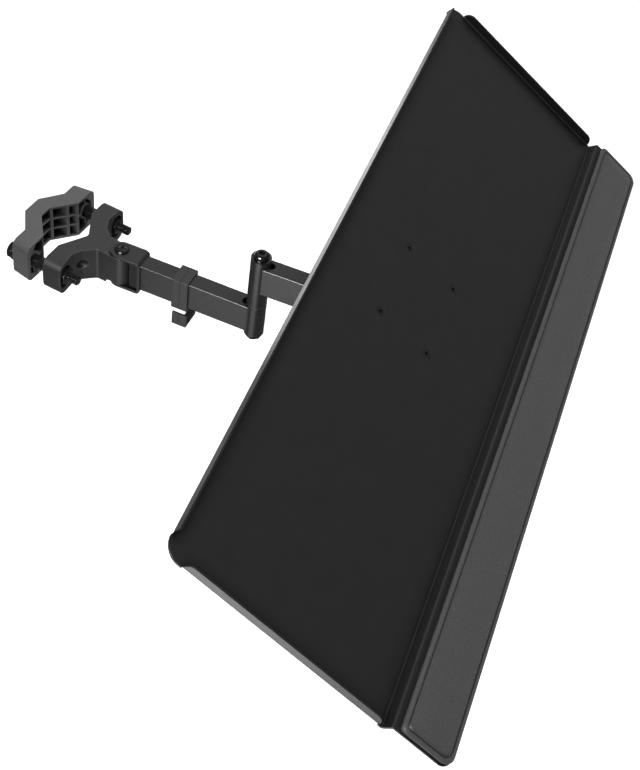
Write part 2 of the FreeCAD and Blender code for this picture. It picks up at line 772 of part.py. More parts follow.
def elbow_hardware():
    """Button-head bolt, washers and thin nut through both barrels, and a slip washer between them."""
    axis = ("0", ARM_END)
    shank = "elbow_bolt_diameter / 2"
    rim = "elbow_head_diameter / 2"
    under = f"{BARREL_TOP} + elbow_washer_thickness"
    nut_top = f"{BARREL_FOOT} - elbow_washer_thickness"
    foot = f"{nut_top} - elbow_nut_height - screw_end"
    top = f"{under} + elbow_head_height"
    bolt = new_body("elbow_bolt")
    turned(bolt, "Z", axis, [
        ("0", foot), (shank, foot), (shank, under), (rim, under), (rim, top), ("0", top)])
    round_edges(bolt, "elbow_head_round", top_rim(bolt, "elbow_head_diameter"))
    cut(bolt, "Z", f"{top} - elbow_socket_depth", f"{top} + cut_past",
        lambda s: hexagon(s, axis, "elbow_socket"))
    node(bolt, INNER)
    nut = new_body("elbow_nut")
    prism(nut, "Z", f"{nut_top} - elbow_nut_height", nut_top, lambda s: hexagon(s, axis, "elbow_nut_across"))
    bore = "elbow_bolt_diameter + 2 * fit_gap"
    cut(nut, "Z", f"{foot} - cut_past", BARREL_FOOT, lambda s: circle(s, axis, bore))
    node(nut, INNER)
    washers = []
    for low, high in ((BARREL_TOP, under), (nut_top, BARREL_FOOT)):
        washer = new_body("elbow_washer")
        ring(washer, "Z", axis, bore, "elbow_washer_diameter", low, high)
        washers.append(washer)
    node_of("elbow_washers", washers, INNER)
    slip = new_body("elbow_slip_washer")
    low = f"{ELBOW_LINE} - slip_washer / 2"
    ring(slip, "Z", axis, bore, "elbow_washer_diameter", low, f"{low} + slip_washer")
    node(slip, INNER)


def cable_clip():
    """A moulded clip that slides on the inner tube, with an open hook for cables below it."""
    body = new_body("cable_clip")
    near = "clip_place - arm_length"
    half = "(tube_width / 2 + clip_fit)"
    low = "(inner_tube_level - tube_height / 2 - clip_fit)"
    high = "(inner_tube_level + tube_height / 2 + clip_fit)"
    side = f"({half} + clip_wall)"
    foot = f"({low} - clip_wall)"
    prism(body, "Y", near, f"{near} + clip_width", lambda s: box_outline(
        s, f"-{side}", side, foot, f"{high} + clip_wall"))
    cut(body, "Y", f"{near} - cut_past", f"{near} + clip_width + cut_past", lambda s: box_outline(
        s, f"-{half}", half, low, high))
    bottom = f"({foot} - hook_drop)"
    web = [
        (side, foot), (side, bottom), (f"-{side}", bottom), (f"-{side}", f"{bottom} + clip_wall"),
        (half, f"{bottom} + clip_wall"), (half, foot),
    ]
    prism(body, "Y", near, f"{near} + hook_web", lambda s: outline(s, web))
    prism(body, "Y", near, f"{near} + hook_lip", lambda s: box_outline(
        s, f"-{side}", f"-{half}", bottom, f"{foot} - hook_slot"))
    node(body, INNER)


# Swivel and tilt under the tray


def tilt_head():
    """A turned stem and disc under a cross barrel: it swivels in the arm's end and carries the tilt."""
    body = new_body("tilt_head")
    axis = ("0", "0")
    stem = "pivot_stem / 2"
    disc = f"{OUTER_HIGH} + slip_washer + head_thickness"
    foot = f"{OUTER_LOW} - slip_washer / 2"
    turned(body, "Z", axis, [
        ("0", foot), (stem, foot), (stem, f"{OUTER_HIGH} + slip_washer"),
        ("head_radius", f"{OUTER_HIGH} + slip_washer"), ("head_radius", disc), ("0", disc)])
    post = "(head_radius - knuckle_inset)"
    prism(body, "X", f"-{post}", post, lambda s: box_outline(
        s, "-knuckle_radius", "knuckle_radius", f"{disc} - head_thickness / 2", "tilt_level"))
    prism(body, "X", "-knuckle_half", "knuckle_half", lambda s: circle(
        s, ("0", "tilt_level"), "2 * knuckle_radius"))
    cut(body, "X", "-2 * knuckle_half", "2 * knuckle_half", lambda s: circle(
        s, ("0", "tilt_level"), "tilt_bolt_diameter + 2 * fit_gap"))
    cut(body, "Z", f"{foot} - cut_past", f"{foot} + pivot_screw_length + screw_end", lambda s: circle(
        s, axis, "pivot_screw_diameter + 2 * fit_gap"))
    node(body, HEAD)


def pivot_hardware():
    """The screw and washer that hold the head's stem in the arm, and the slip washer it turns on."""
    axis = ("0", "0")
    foot = f"{OUTER_LOW} - slip_washer / 2"
    under = f"({foot} - washer_thickness)"
    head = f"({under} - pivot_screw_head_height)"
    screw = new_body("pivot_screw")
    shank = "pivot_screw_diameter / 2"
    rim = "pivot_screw_head / 2"
    end = f"{foot} + pivot_screw_length"
    turned(screw, "Z", axis, [
        ("0", head), (f"{rim} - pivot_head_round", head), (rim, f"{head} + pivot_head_round"),
        (rim, under), (shank, under), (shank, end), ("0", end)])
    cut(screw, "Z", f"{head} - cut_past", f"{head} + pivot_socket_depth",
        lambda s: hexagon(s, axis, "pivot_socket"))
    node(screw, HEAD)
    washer = new_body("pivot_washer")
    ring(washer, "Z", axis, "pivot_screw_diameter + 2 * fit_gap", "pivot_washer_diameter", under, foot)
    node(washer, HEAD)
    slip = new_body("pivot_slip_washer")
    ring(slip, "Z", axis, "pivot_stem + 2 * fit_gap", "pivot_slip_diameter", OUTER_HIGH,
         f"{OUTER_HIGH} + slip_washer")
    node(slip, HEAD)


def tray_bracket():
    """A folded plate under the tray, its two ears outside the head's cross barrel."""
    body = new_body("tray_bracket")
    under = "(tray_rise - bracket_sheet)"
    prism(body, "Z", under, "tray_rise", lambda s: box_outline(
        s, "-bracket_length / 2", "bracket_length / 2", "-bracket_depth / 2", "bracket_depth / 2"))
    round_edges(body, "bracket_corner", outer_edges(body, 2, (0, 1)))
    ear_in = "(knuckle_half + tilt_washer)"
    ear_out = f"({ear_in} + bracket_sheet)"
    root = f"{under} + bracket_sheet / 2"
    ear = [
        ("-bracket_ear_root", root), ("-bracket_ear_radius", "0"), ("bracket_ear_radius", "0"),
        ("bracket_ear_root", root),
    ]
    for low, high in ((ear_in, ear_out), (f"-{ear_out}", f"-{ear_in}")):
        prism(body, "X", low, high, lambda s: outline(s, ear))
        prism(body, "X", low, high, lambda s: circle(s, ("0", "0"), "2 * bracket_ear_radius"))
    cut(body, "X", f"-{ear_out} - cut_past", f"{ear_out} + cut_past", lambda s: circle(
        s, ("0", "0"), "tilt_bolt_diameter + 2 * fit_gap"))
    for x in ("-tray_screw_x", "tray_screw_x"):
        for y in ("-tray_screw_y", "tray_screw_y"):
            cut(body, "Z", "0", "tray_rise + cut_past", lambda s: circle(
                s, (x, y), "tray_screw_diameter + 2 * hole_gap"))
    node(body, TRAY)


def tilt_hardware():
    """Bolt, lock nut and washers on the tilt axis; the inner pair rub on the cross barrel."""
    axis = ("0", "0")
    ear_in = "(knuckle_half + tilt_washer)"
    ear_out = f"({ear_in} + bracket_sheet)"
    seat = f"({ear_out} + tilt_washer)"
    shank = "tilt_bolt_diameter / 2"
    end = f"{seat} + tilt_nut_height + screw_end"
    bolt = new_body("tilt_bolt")
    turned(bolt, "X", axis, [("0", f"-{seat}"), (shank, f"-{seat}"), (shank, end), ("0", end)])
    prism(bolt, "X", f"-{seat} - tilt_head_height", f"-{seat}",
          lambda s: hexagon(s, axis, "tilt_head_across"))
    node(bolt, TRAY)
    nut = new_body("tilt_nut")
    prism(nut, "X", seat, f"{seat} + tilt_nut_height", lambda s: hexagon(s, axis, "tilt_head_across"))
    cut(nut, "X", "0", f"{seat} + 2 * tilt_nut_height", lambda s: circle(
        s, axis, "tilt_bolt_diameter + 2 * fit_gap"))
    node(nut, TRAY)
    washers = []
    places = [("knuckle_half", ear_in), (ear_out, seat)]
    places += [(f"-{ear_in}", "-knuckle_half"), (f"-{seat}", f"-{ear_out}")]
    for low, high in places:
        washer = new_body("tilt_washer")
        ring(washer, "X", axis, "tilt_bolt_diameter + 2 * fit_gap", "tilt_washer_diameter", low, high)
        washers.append(washer)
    node_of("tilt_washers", washers, TRAY)


def tray_fixings():
    """Four flush screws down through the tray and bracket, each with a nut below."""
    screws = []
    nuts = []
    under = "(tray_rise - bracket_sheet)"
    rim = "tray_screw_head / 2"
    shank = "tray_screw_diameter / 2"
    foot = f"{under} - tray_nut_height - screw_end"
    for x in ("-tray_screw_x", "tray_screw_x"):
        for y in ("-tray_screw_y", "tray_screw_y"):
            screw = new_body("tray_screw")
            turned(screw, "Z", (x, y), [
                ("0", foot), (shank, foot), (shank, f"{TRAY_TOP} - tray_screw_sink"),
                (rim, f"{TRAY_TOP} - fit_gap"), ("0", f"{TRAY_TOP} - fit_gap")])
            screws.append(screw)
            nut = new_body("tray_nut")
            prism(nut, "Z", f"{under} - tray_nut_height", under,
                  lambda s: hexagon(s, (x, y), "tray_nut_across"))
            cut(nut, "Z", f"{under} - 2 * tray_nut_height", "tray_rise", lambda s: circle(
                s, (x, y), "tray_screw_diameter + 2 * fit_gap"))
            nuts.append(nut)
    node_of("tray_screws", screws, TRAY)
    node_of("tray_nuts", nuts, TRAY)


# Tray and wrist rest


def tray_pan():
    """One folded sheet: the flat, lips turned up at the sides and back, a riser and a shelf in front."""
    body = new_body("tray_pan")
    fold = "tray_sheet * tan(atan(riser_height / riser_run) / 2)"
    riser_foot = "(-tray_front)"
    riser_top = "(-tray_front - riser_run)"
    start = "(side_lip_front - tray_front)"
    profile = [
        (start, "tray_rise"), (start, TRAY_TOP), (riser_foot, TRAY_TOP), (riser_top, SHELF_TOP),
        (f"-{SHELF_FRONT}", SHELF_TOP), (f"-{SHELF_FRONT}", f"{SHELF_TOP} - tray_sheet"),
        (f"{riser_top} - {fold}", f"{SHELF_TOP} - tray_sheet"), (f"{riser_foot} - {fold}", "tray_rise"),
    ]

    # Each lip is bent up from a strip of the flat a little wider than its bend
    end = "(tray_length / 2)"
    strip = "(tray_bend + 2 * tray_sheet)"
    back_end = "(tray_back - side_lip_back)"
    prism(body, "Z", "tray_rise", TRAY_TOP, lambda s: box_outline(
        s, f"{strip} - {end}", f"{end} - {strip}", start, f"tray_back - {strip}"))
    for side in ("-", ""):
        prism(body, "Y", start, back_end, lambda s: outline(
            s, sided(side, bent_strip(end, strip, "side_lip"))))
    prism(body, "X", "-back_lip_half", "back_lip_half", lambda s: outline(
        s, bent_strip("tray_back", strip, "back_lip")))
    round_edges(body, "tray_bend", lambda e: in_bend(e, size("tray_sheet")))
    round_edges(body, "tray_bend + tray_sheet", lambda e: in_bend(e, 0))
    lip_level = size("tray_rise") + size("tray_sheet") + size("side_lip")
    round_edges(body, "side_lip_round", lambda e: runs_along(e, 0) and is_lip_corner(e, lip_level))

    prism(body, "X", f"-{end}", end, lambda s: outline(s, profile))
    inner, outer = riser_bends()
    round_edges(body, "riser_bend", lambda e: runs_along(e, 0) and at_places(e, inner))
    round_edges(body, "riser_bend + tray_sheet", lambda e: runs_along(e, 0) and at_places(e, outer))
    for side in ("-", ""):
        near, far = (f"-{end}", "-back_lip_half") if side else ("back_lip_half", end)
        prism(body, "Z", "tray_rise", TRAY_TOP, lambda s: box_outline(s, near, far, back_end, "tray_back"))
    box = outer_edges(body, 2, (0, 1))
    round_edges(body, "tray_corner", lambda e: box(e) and e.CenterOfMass.y > 0)
    round_edges(body, "rest_corner", lambda e: box(e) and e.CenterOfMass.y < 0)

    hole = "tray_screw_diameter / 2 + fit_gap"
    sunk = "tray_screw_head / 2 + fit_gap"
    sink = f"{TRAY_TOP} - tray_screw_sink"
    past = f"{TRAY_TOP} + cut_past"
    for x in ("-tray_screw_x", "tray_screw_x"):
        for y in ("-tray_screw_y", "tray_screw_y"):
            cut(body, "Z", "tray_rise - cut_past", past, lambda s: circle(s, (x, y), f"2 * ({hole})"))
            turned(body, "Z", (x, y), [
                ("0", sink), (hole, sink), (sunk, f"{TRAY_TOP} - fit_gap"), (sunk, past), ("0", past)],
                "Groove")
    node(body, TRAY)


def bent_strip(edge, strip, lip):
    """The square outline of a lip turned up at an edge of the flat, before its bend is rounded."""
    top = f"{TRAY_TOP} + {lip}"
    return [
        (f"{edge} - {strip}", "tray_rise"), (edge, "tray_rise"), (edge, top),
        (f"{edge} - tray_sheet", top), (f"{edge} - tray_sheet", TRAY_TOP), (f"{edge} - {strip}", TRAY_TOP),
    ]


def in_bend(edge, inset):
    """Whether an edge is the corner of a lip's bend: the outside one, or the one a sheet further in."""
    middle = edge.CenterOfMass
    if abs(middle.z - size("tray_rise") - inset) > TOUCH:
        return False
    if runs_along(edge, 1):
        return abs(abs(middle.x) - size("tray_length") / 2 + inset) < TOUCH
    return runs_along(edge, 0) and abs(middle.y - size("tray_back") + inset) < TOUCH


def riser_bends():
    """The (place, level) of the riser's two inside corners, and of its two outside ones."""
    foot = -size("tray_front")
    top = foot - size("riser_run")
    sheet = size("tray_sheet")
    low = size("tray_rise") + sheet
    high = low + size("riser_height")
    fold = sheet * math.tan(math.atan(size("riser_height") / size("riser_run")) / 2)
    inner = [(foot, low), (top - fold, high - sheet)]
    outer = [(foot - fold, low - sheet), (top, high)]
    return inner, outer


def at_places(edge, places):
    """Whether an edge runs through one of some (place, level) points."""
    middle = edge.CenterOfMass
    return any(abs(middle.y - y) < TOUCH and abs(middle.z - z) < TOUCH for y, z in places)


def is_lip_corner(edge, level):
    """The short top corners of the side lips, across the sheet."""
    return abs(edge.CenterOfMass.z - level) < TOUCH and edge.Length < 2 * size("tray_sheet")


def box_middle(body):
    """The middle of the box round a body."""
    return body.Tip.Shape.BoundBox.Center


def rest_base():
    """The stiff board glued under the wrist rest's padding."""
    body = new_body("rest_base")
    half = "tray_length / 2 - rest_base_inset"
    prism(body, "Z", SHELF_TOP, f"{SHELF_TOP} + rest_base", lambda s: box_outline(
        s, f"-({half})", half, f"rest_base_inset - {SHELF_FRONT}",
        f"rest_depth - {SHELF_FRONT} - rest_base_inset"))
    box = outer_edges(body, 2, (0, 1))
    middle = (box_middle(body)).y
    round_edges(body, "rest_corner - rest_base_inset", lambda e: box(e) and e.CenterOfMass.y < middle)
    round_edges(body, "rest_back_corner - rest_base_inset", lambda e: box(e) and e.CenterOfMass.y > middle)
    node(body, TRAY)


def wrist_pad():
    """The padding: sides drawn in below a welted rim, a crowned top inside the welt."""
    low = size("tray_rise") + size("tray_sheet") + size("riser_height") + size("rest_base")
    rim = low - size("rest_base") + size("rest_height")
    levels = [
        (low, size("rest_foot_inset")),
        ((low + rim) / 2, size("rest_belly_inset")),
        (rim, size("rest_welt_inset")),
        (rim + size("rest_slope_rise"), size("rest_slope_inset")),
        (rim + size("rest_crown"), size("rest_top_inset")),
    ]
    wires = []
    for level, inset in levels:
        wires.append(rounded_wire(level, inset))
    padding = Part.makeLoft(wires, True, True)
    feature = doc.addObject("Part::Feature", "wrist_pad")
    feature.Label = "wrist_pad"
    feature.Shape = padding
    node(feature, TRAY)


def rounded_wire(level, inset):
    """A level outline of the padding, set in from the rest's edge, with quarter-round corners."""
    half = size("tray_length") / 2 - inset
    front = -size("tray_front") - size("riser_run") - size("shelf_depth")
    low = front + inset
    high = front + size("rest_depth") - inset
    edges = []
    corners = [(half, low, -90), (half, high, 0), (-half, high, 90), (-half, low, 180)]
    for x, y, angle in corners:
        radius = size("rest_corner" if y == low else "rest_back_corner") - inset / 4
        centre = Vector(x - math.copysign(radius, x), low + radius if y == low else high - radius, level)
        arc = [centre + turn_z(angle + step).multVec(Vector(radius, 0, 0)) for step in (0, 45, 90)]
        edges.append(Part.Arc(*arc).toShape())
    straight = []
    for i in range(4):
        start = edges[i].Vertexes[-1].Point
        end = edges[(i + 1) % 4].Vertexes[0].Point
        straight.append(Part.LineSegment(start, end).toShape())
    loop = []
    for arc, line in zip(edges, straight):
        loop += [arc, line]
    return Part.Wire(loop)


front_jaw()
rear_jaw()
clamp_hardware()
clevis()
swivel_hardware()
inner_arm()
outer_arm()
elbow_hardware()
cable_clip()
tilt_head()
pivot_hardware()
tray_bracket()
tilt_hardware()
tray_fixings()
tray_pan()
rest_base()
wrist_pad()
doc.recompute()

# Checks and files

failed = [thing.Label for thing in doc.Objects if {"Invalid", "Error"} & set(thing.State)]
failed += [thing.Label for thing in NODES if thing.Shape.isNull() or not thing.Shape.isValid()]
if failed:
    raise RuntimeError("failed: " + ", ".join(failed))
os.makedirs("parts", exist_ok=True)
for thing in NODES:
    thing.Shape.exportStep(f"parts/{thing.Label}.step")
    box = thing.Shape.BoundBox
    print(
        f"{thing.Label}: {len(thing.Shape.Solids)} solids, {thing.Shape.Volume / 1000:.2f} cm3, "
        f"X {box.XMin:.1f}..{box.XMax:.1f} Y {box.YMin:.1f}..{box.YMax:.1f} Z {box.ZMin:.1f}..{box.ZMax:.1f}"
    )
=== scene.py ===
import json

import bmesh
import bpy
import numpy as np
from mathutils import Matrix, Vector


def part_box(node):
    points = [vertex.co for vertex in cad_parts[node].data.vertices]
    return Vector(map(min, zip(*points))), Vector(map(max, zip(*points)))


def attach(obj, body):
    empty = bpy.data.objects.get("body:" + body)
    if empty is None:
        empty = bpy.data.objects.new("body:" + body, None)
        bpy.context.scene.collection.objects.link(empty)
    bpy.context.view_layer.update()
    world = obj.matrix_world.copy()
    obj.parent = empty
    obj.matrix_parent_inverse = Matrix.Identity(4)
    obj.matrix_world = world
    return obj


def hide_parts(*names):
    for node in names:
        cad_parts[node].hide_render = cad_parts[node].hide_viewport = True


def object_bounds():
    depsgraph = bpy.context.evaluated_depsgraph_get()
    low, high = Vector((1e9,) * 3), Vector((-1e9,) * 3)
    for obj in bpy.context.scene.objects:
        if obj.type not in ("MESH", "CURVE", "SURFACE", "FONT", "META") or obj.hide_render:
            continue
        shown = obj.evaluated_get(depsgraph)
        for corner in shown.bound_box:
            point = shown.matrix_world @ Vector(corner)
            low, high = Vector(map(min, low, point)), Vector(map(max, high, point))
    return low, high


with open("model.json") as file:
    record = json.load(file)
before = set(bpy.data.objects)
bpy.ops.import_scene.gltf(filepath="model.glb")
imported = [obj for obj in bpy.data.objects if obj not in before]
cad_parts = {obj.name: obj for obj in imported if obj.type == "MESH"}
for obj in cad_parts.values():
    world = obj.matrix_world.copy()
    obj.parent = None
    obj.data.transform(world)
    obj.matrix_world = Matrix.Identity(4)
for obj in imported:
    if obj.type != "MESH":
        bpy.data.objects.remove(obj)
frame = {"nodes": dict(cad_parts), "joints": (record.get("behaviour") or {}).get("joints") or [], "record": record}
cad_low, cad_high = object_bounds()
joints = {joint["name"]: joint for joint in frame["joints"]}
MM = 0.001

# Rear jaw: the loose half of the pole clamp, a ribbed shell moulded in glass-filled nylon.
# Two bolts pull it against the pole. The moulding is mid-grey, with a fine spark-eroded grain.

GRAIN_PATCH = 26
GLOSS_SPREAD = 0.015
EDGE_ROUND = 0.7 * MM
EDGE_RANGE = (1.0, 0.86)
EDGE_PALER = 4
HOLLOW_REACH = 14 * MM
HOLLOW_SPAN = 0.5
CREASE_HALF = 0.4 * MM
CREASE_SHADE = 0.5


def new_finish(name):
    """An empty node material with its shader, and the two functions that fill it."""
    material = bpy.data.materials.new(name)
    material.use_nodes = True
    tree = material.node_tree
    shader = tree.nodes["Principled BSDF"]

    def add(kind, inputs, **settings):
        """One more node: its settings, then each input as a value or as another node's output."""
        item = tree.nodes.new("ShaderNode" + kind)
        for key, value in settings.items():
            setattr(item, key, value)
        for key, value in inputs.items():
            if isinstance(value, bpy.types.NodeSocket):
                tree.links.new(value, item.inputs[key])
            else:
                item.inputs[key].default_value = value
        return item

    def feed(key, value):
        """One input of the shader itself, as a value or as a node's output."""
        if isinstance(value, bpy.types.NodeSocket):
            tree.links.new(value, shader.inputs[key])
        else:
            shader.inputs[key].default_value = value

    return material, add, feed


def grey(level):
    """A neutral colour from one linear level."""
    return (level, level, level, 1.0)


def coat(name, tones, rough, grain, relief, edge_wear_and_highlight, specular=0.5, hollow_shade=0.0, open_sky=0.75,
         edge_round=EDGE_ROUND, crease=None, painted_dark_end=None):
    """A solid finish: two close tones in soft patches, a fine bumpy grain, edges painted paler.

    Tone = dark + (pale - dark) * broad noise. Height = relief * noise one grain across.
    Paler edges stand partly for wear and partly for a painted highlight along rounded edges.
    Their share = how far the normal of a rounded edge turns away from the face's own normal.
    Hollows get painted shade, darker as the piece itself hides more of the sky above a point
    than the open share leaves.
    A crease is a fine groove across an axis at one place, its colour darkened as painted shade.
    Past a given end along an axis the colour is painted black and dull, as painted shade.
    """
    material, add, feed = new_finish(name)
    place = add("TexCoord", {}).outputs["Object"]
    patches = add("TexNoise", {"Vector": place, "Scale": 1 / (GRAIN_PATCH * grain), "Detail": 5.0})
    fine = add("TexNoise", {"Vector": place, "Scale": 1 / grain, "Detail": 3.0, "Roughness": 0.6})
    tone = add("MixRGB", {
        "Fac": patches.outputs["Fac"], "Color1": grey(tones[0]), "Color2": grey(tones[1])})
    rounded = add("Bevel", {"Radius": edge_round}, samples=6)
    face = add("NewGeometry", {})
    facing = add("VectorMath", {
        0: rounded.outputs["Normal"], 1: face.outputs["Normal"]}, operation="DOT_PRODUCT")
    # Paler edges: partly wear, partly a painted highlight along rounded edges.
    edge = add("MapRange", {
        "Value": facing.outputs["Value"],
        "From Min": EDGE_RANGE[0], "From Max": EDGE_RANGE[1], "To Max": edge_wear_and_highlight})
    edge_worn_and_lit = add("MixRGB", {
        "Fac": edge.outputs["Result"], "Color1": tone.outputs["Color"],
        "Color2": grey(tones[1] * EDGE_PALER)})
    # Painted shade: hollows are darkened by how much of the sky the piece itself hides.
    sky = add("AmbientOcclusion", {"Distance": HOLLOW_REACH}, samples=8, only_local=True)
    shade = add("MapRange", {
        "Value": sky.outputs["AO"],
        "From Min": open_sky - HOLLOW_SPAN, "From Max": open_sky, "To Min": 1 - hollow_shade})
    base = add("MixRGB", {
        "Fac": shade.outputs["Result"], "Color1": grey(0.0), "Color2": edge_worn_and_lit.outputs["Color"]})
    gloss = add("MapRange", {
        "Value": patches.outputs["Fac"], "From Min": 0.3, "From Max": 0.7,
        "To Min": rough - GLOSS_SPREAD, "To Max": rough + GLOSS_SPREAD})
    bump = add("Bump", {
        "Height": fine.outputs["Fac"], "Distance": relief, "Strength": 0.6,
        "Normal": rounded.outputs["Normal"]})
    colour, rough_part, normal_part = base.outputs["Color"], gloss.outputs["Result"], bump.outputs["Normal"]
    # Painted shade: the colour darkens in the crease's groove.
    if crease:
        axis, at = crease
        along = add("VectorMath", {0: place, 1: tuple(axis)}, operation="DOT_PRODUCT")
        off = add("Math", {0: along.outputs["Value"], 1: at}, operation="SUBTRACT")
        away = add("Math", {0: off.outputs["Value"]}, operation="ABSOLUTE")
        groove = add("MapRange", {
            "Value": away.outputs["Value"], "From Max": CREASE_HALF, "To Min": 1 - CREASE_SHADE})
        groove_shaded = add("MixRGB", {
            "Fac": groove.outputs["Result"], "Color1": grey(0.0), "Color2": colour})
        dip = add("Bump", {
            "Height": groove.outputs["Result"], "Distance": CREASE_HALF, "Normal": normal_part})
        colour, normal_part = groove_shaded.outputs["Color"], dip.outputs["Normal"]
    # Painted shade: past this end the colour turns black and dull.
    if painted_dark_end:
        axis, start, end = painted_dark_end
        along = add("VectorMath", {0: place, 1: tuple(axis)}, operation="DOT_PRODUCT")
        inside = add("MapRange", {
            "Value": along.outputs["Value"], "From Min": start, "From Max": end})
        black = add("MixRGB", {
            "Fac": inside.outputs["Result"], "Color1": colour, "Color2": grey(0.0)})
        dull = add("MixRGB", {
            "Fac": inside.outputs["Result"], "Color1": rough_part, "Color2": grey(1.0)})
        colour, rough_part = black.outputs["Color"], dull.outputs["Color"]
    feed("Base Color", colour)
    feed("Roughness", rough_part)
    feed("Normal", normal_part)
    feed("Specular IOR Level", specular)
    return material


def dress(material, *nodes):
    """Give CAD nodes their finish."""
    for name in nodes:
        materials = frame["nodes"][name].data.materials
        materials.clear()
        materials.append(material)


# Paler edges are partly wear and partly painted highlight; the ribs' pockets get painted shade.
jaw_moulding = coat("jaw_moulding", (0.08, 0.096), rough=0.5, grain=0.35 * MM, relief=0.05 * MM,
                    edge_wear_and_highlight=0.35, specular=0.15, hollow_shade=0.9)
dress(jaw_moulding, "rear_jaw")

# Front jaw: the half on the arm's side, die-cast and painted satin charcoal.
# Its V takes the pole, its wings take the bolts and its neck ends in the swivel's bore.

# Paler edges are partly wear and partly painted highlight; its hollows get painted shade.
jaw_cast = coat("jaw_cast", (0.028, 0.035), rough=0.4, grain=0.6 * MM, relief=0.04 * MM,
                edge_wear_and_highlight=0.7, specular=0.25, hollow_shade=0.5)
dress(jaw_cast, "front_jaw")

# Clamp bolts: two black hexagon bolts through both jaws, threaded over their free ends.
# Turned from a profile, with a chamfered head and a helical thread cut below the shank's radius.

TURN = np.linspace(0, 2 * np.pi, 72, endpoint=False)
BOLT_RADIUS = 4 * MM
BOLT_ACROSS = 13 * MM
BOLT_HEAD = 5.3 * MM
BOLT_PITCH = 1.25 * MM
BOLT_HALF = 37.5 * MM
THREAD_SHOWN = 34 * MM
THREAD_DEEP = 0.54
THREAD_ROWS = 10
THREAD_START = 0.25
END_CHAMFER = 0.2
TIP_CENTRE = 0.2
HEAD_RIM = 0.42
HEAD_DISH = 0.4
DISH_DEEP = 0.05
HEX_CHAMFER = 0.12
HEX_CROWN = 0.475
HEX_ROUNDING = 40
FINE_EDGE = 0.1 * MM
WELDED = 0.001 * MM

# Paler edges, partly wear and partly painted highlight, also brighten the thread's crests.
black_steel = coat("black_steel", (0.005, 0.009), rough=0.15, grain=0.25 * MM, relief=0.01 * MM,
                   edge_wear_and_highlight=0.6, edge_round=FINE_EDGE)


def axes_of(forward):
    """Three unit axes as rows, sideways, forward and up, for a piece that points forward."""
    forward = np.array(forward, float) / np.linalg.norm(forward)
    up = np.array([0.0, 0.0, 1.0])
    return np.array([np.cross(forward, up), forward, up])


def reach_of(node, axes, origin):
    """Lowest and highest places of a CAD node along three axes from an origin."""
    mesh = frame["nodes"][node].data
    points = np.empty(len(mesh.vertices) * 3)
    mesh.vertices.foreach_get("co", points)
    along = (points.reshape(-1, 3) - np.array(origin)) @ axes.T
    return along.min(0), along.max(0)


def hexagon_at(turn, across):
    """Radius of a hexagon with slightly rounded corners, at each angle.

    Half the width over the 40-norm of the cosines of the angle to its three pairs of flats.
    """
    powers = [np.abs(np.cos(turn - k * np.pi / 3)) ** HEX_ROUNDING for k in range(3)]
    return across / 2 / np.sum(powers, axis=0) ** (1 / HEX_ROUNDING)


def rings(*rows):
    """Rows of (radius, place), each one number or one per angle, as two arrays: rows by angles."""
    radius = np.array([np.broadcast_to(row[0], TURN.shape) for row in rows])
    place = np.array([np.broadcast_to(row[1], TURN.shape) for row in rows])
    return radius, place


def joined(*blocks):
    """Several blocks of rows, one after the other."""
    return np.vstack([block[0] for block in blocks]), np.vstack([block[1] for block in blocks])


def thread(radius, pitch, low, high):
    """A helical V thread: the radius falls to the root and rises again once each pitch and each turn.

    Depth = 0.54 pitch * (1 - |2 * fraction(place / pitch - turn) - 1|), the turn counted in whole turns.
    It grows from nothing over half a pitch at either end.
    """
    count = int((high - low) / pitch * THREAD_ROWS)
    place = np.linspace(low, high, count)[:, None] + 0 * TURN
    phase = np.mod(place / pitch - TURN / (2 * np.pi), 1)
    ends = np.minimum(place - low, high - place)
    fade = np.clip(ends / (0.5 * pitch), 0, 1)
    return radius - THREAD_DEEP * pitch * (1 - np.abs(2 * phase - 1)) * fade, place


def shank_end(radius, tip):
    """The chamfered end of a shank, as two rows: narrower at the tip, then its full radius."""
    return ((1 - END_CHAMFER) * radius, tip), (radius, tip + END_CHAMFER * radius)


def chamfered(across, low, high):
    """The outside of a hexagon head or nut: the hexagon, or a 30 degree cone from each end if less."""
    flats = hexagon_at(TURN, across)
    depth = np.linspace(0, HEX_CHAMFER * across, 7)
    cone = HEX_CROWN * across + depth * np.sqrt(3)
    bottom = [(np.minimum(flats, r), low + d) for r, d in zip(cone, depth)]
    top = [(np.minimum(flats, r), high - d) for r, d in zip(cone, depth)]
    return rings(*bottom, *reversed(top))


def shown(name, mesh):
    """A mesh as a new piece of the scene, shaded smooth."""
    mesh.polygons.foreach_set("use_smooth", np.ones(len(mesh.polygons), bool))
    piece = bpy.data.objects.new(name, mesh)
    bpy.context.scene.collection.objects.link(piece)
    return piece


def swept(name, grid, wrapped=False, spine=False):
    """A closed mesh over a grid of points: rows along the piece, columns round it.

    Neighbouring points make the faces. The end rows close on their middles, or on each other if wrapped.
    With a spine the last row lies on a line, and its two sides are welded together there.
    """
    rows, columns = grid.shape[:2]
    index = np.arange(rows * columns).reshape(rows, columns)
    ahead = np.roll(index, -1, axis=0) if wrapped else index[1:]
    here = index if wrapped else index[:-1]
    faces = np.stack([here, np.roll(here, -1, 1), np.roll(ahead, -1, 1), ahead], -1).reshape(-1, 4).tolist()
    points = grid.reshape(-1, 3)
    centre = np.full(columns, rows * columns)
    if not wrapped:
        points = np.vstack([points, grid[0].mean(0)])
        faces += np.stack([np.roll(index[0], -1), index[0], centre], -1).tolist()
    if not wrapped and not spine:
        points = np.vstack([points, grid[-1].mean(0)])
        faces += np.stack([index[-1], np.roll(index[-1], -1), centre + 1], -1).tolist()
    mesh = bpy.data.meshes.new(name)
    mesh.from_pydata(points.tolist(), [], faces)
    if spine:
        work = bmesh.new()
        work.from_mesh(mesh)
        bmesh.ops.remove_doubles(work, verts=work.verts, dist=WELDED)
        work.to_mesh(mesh)
        work.free()
    return shown(name, mesh)


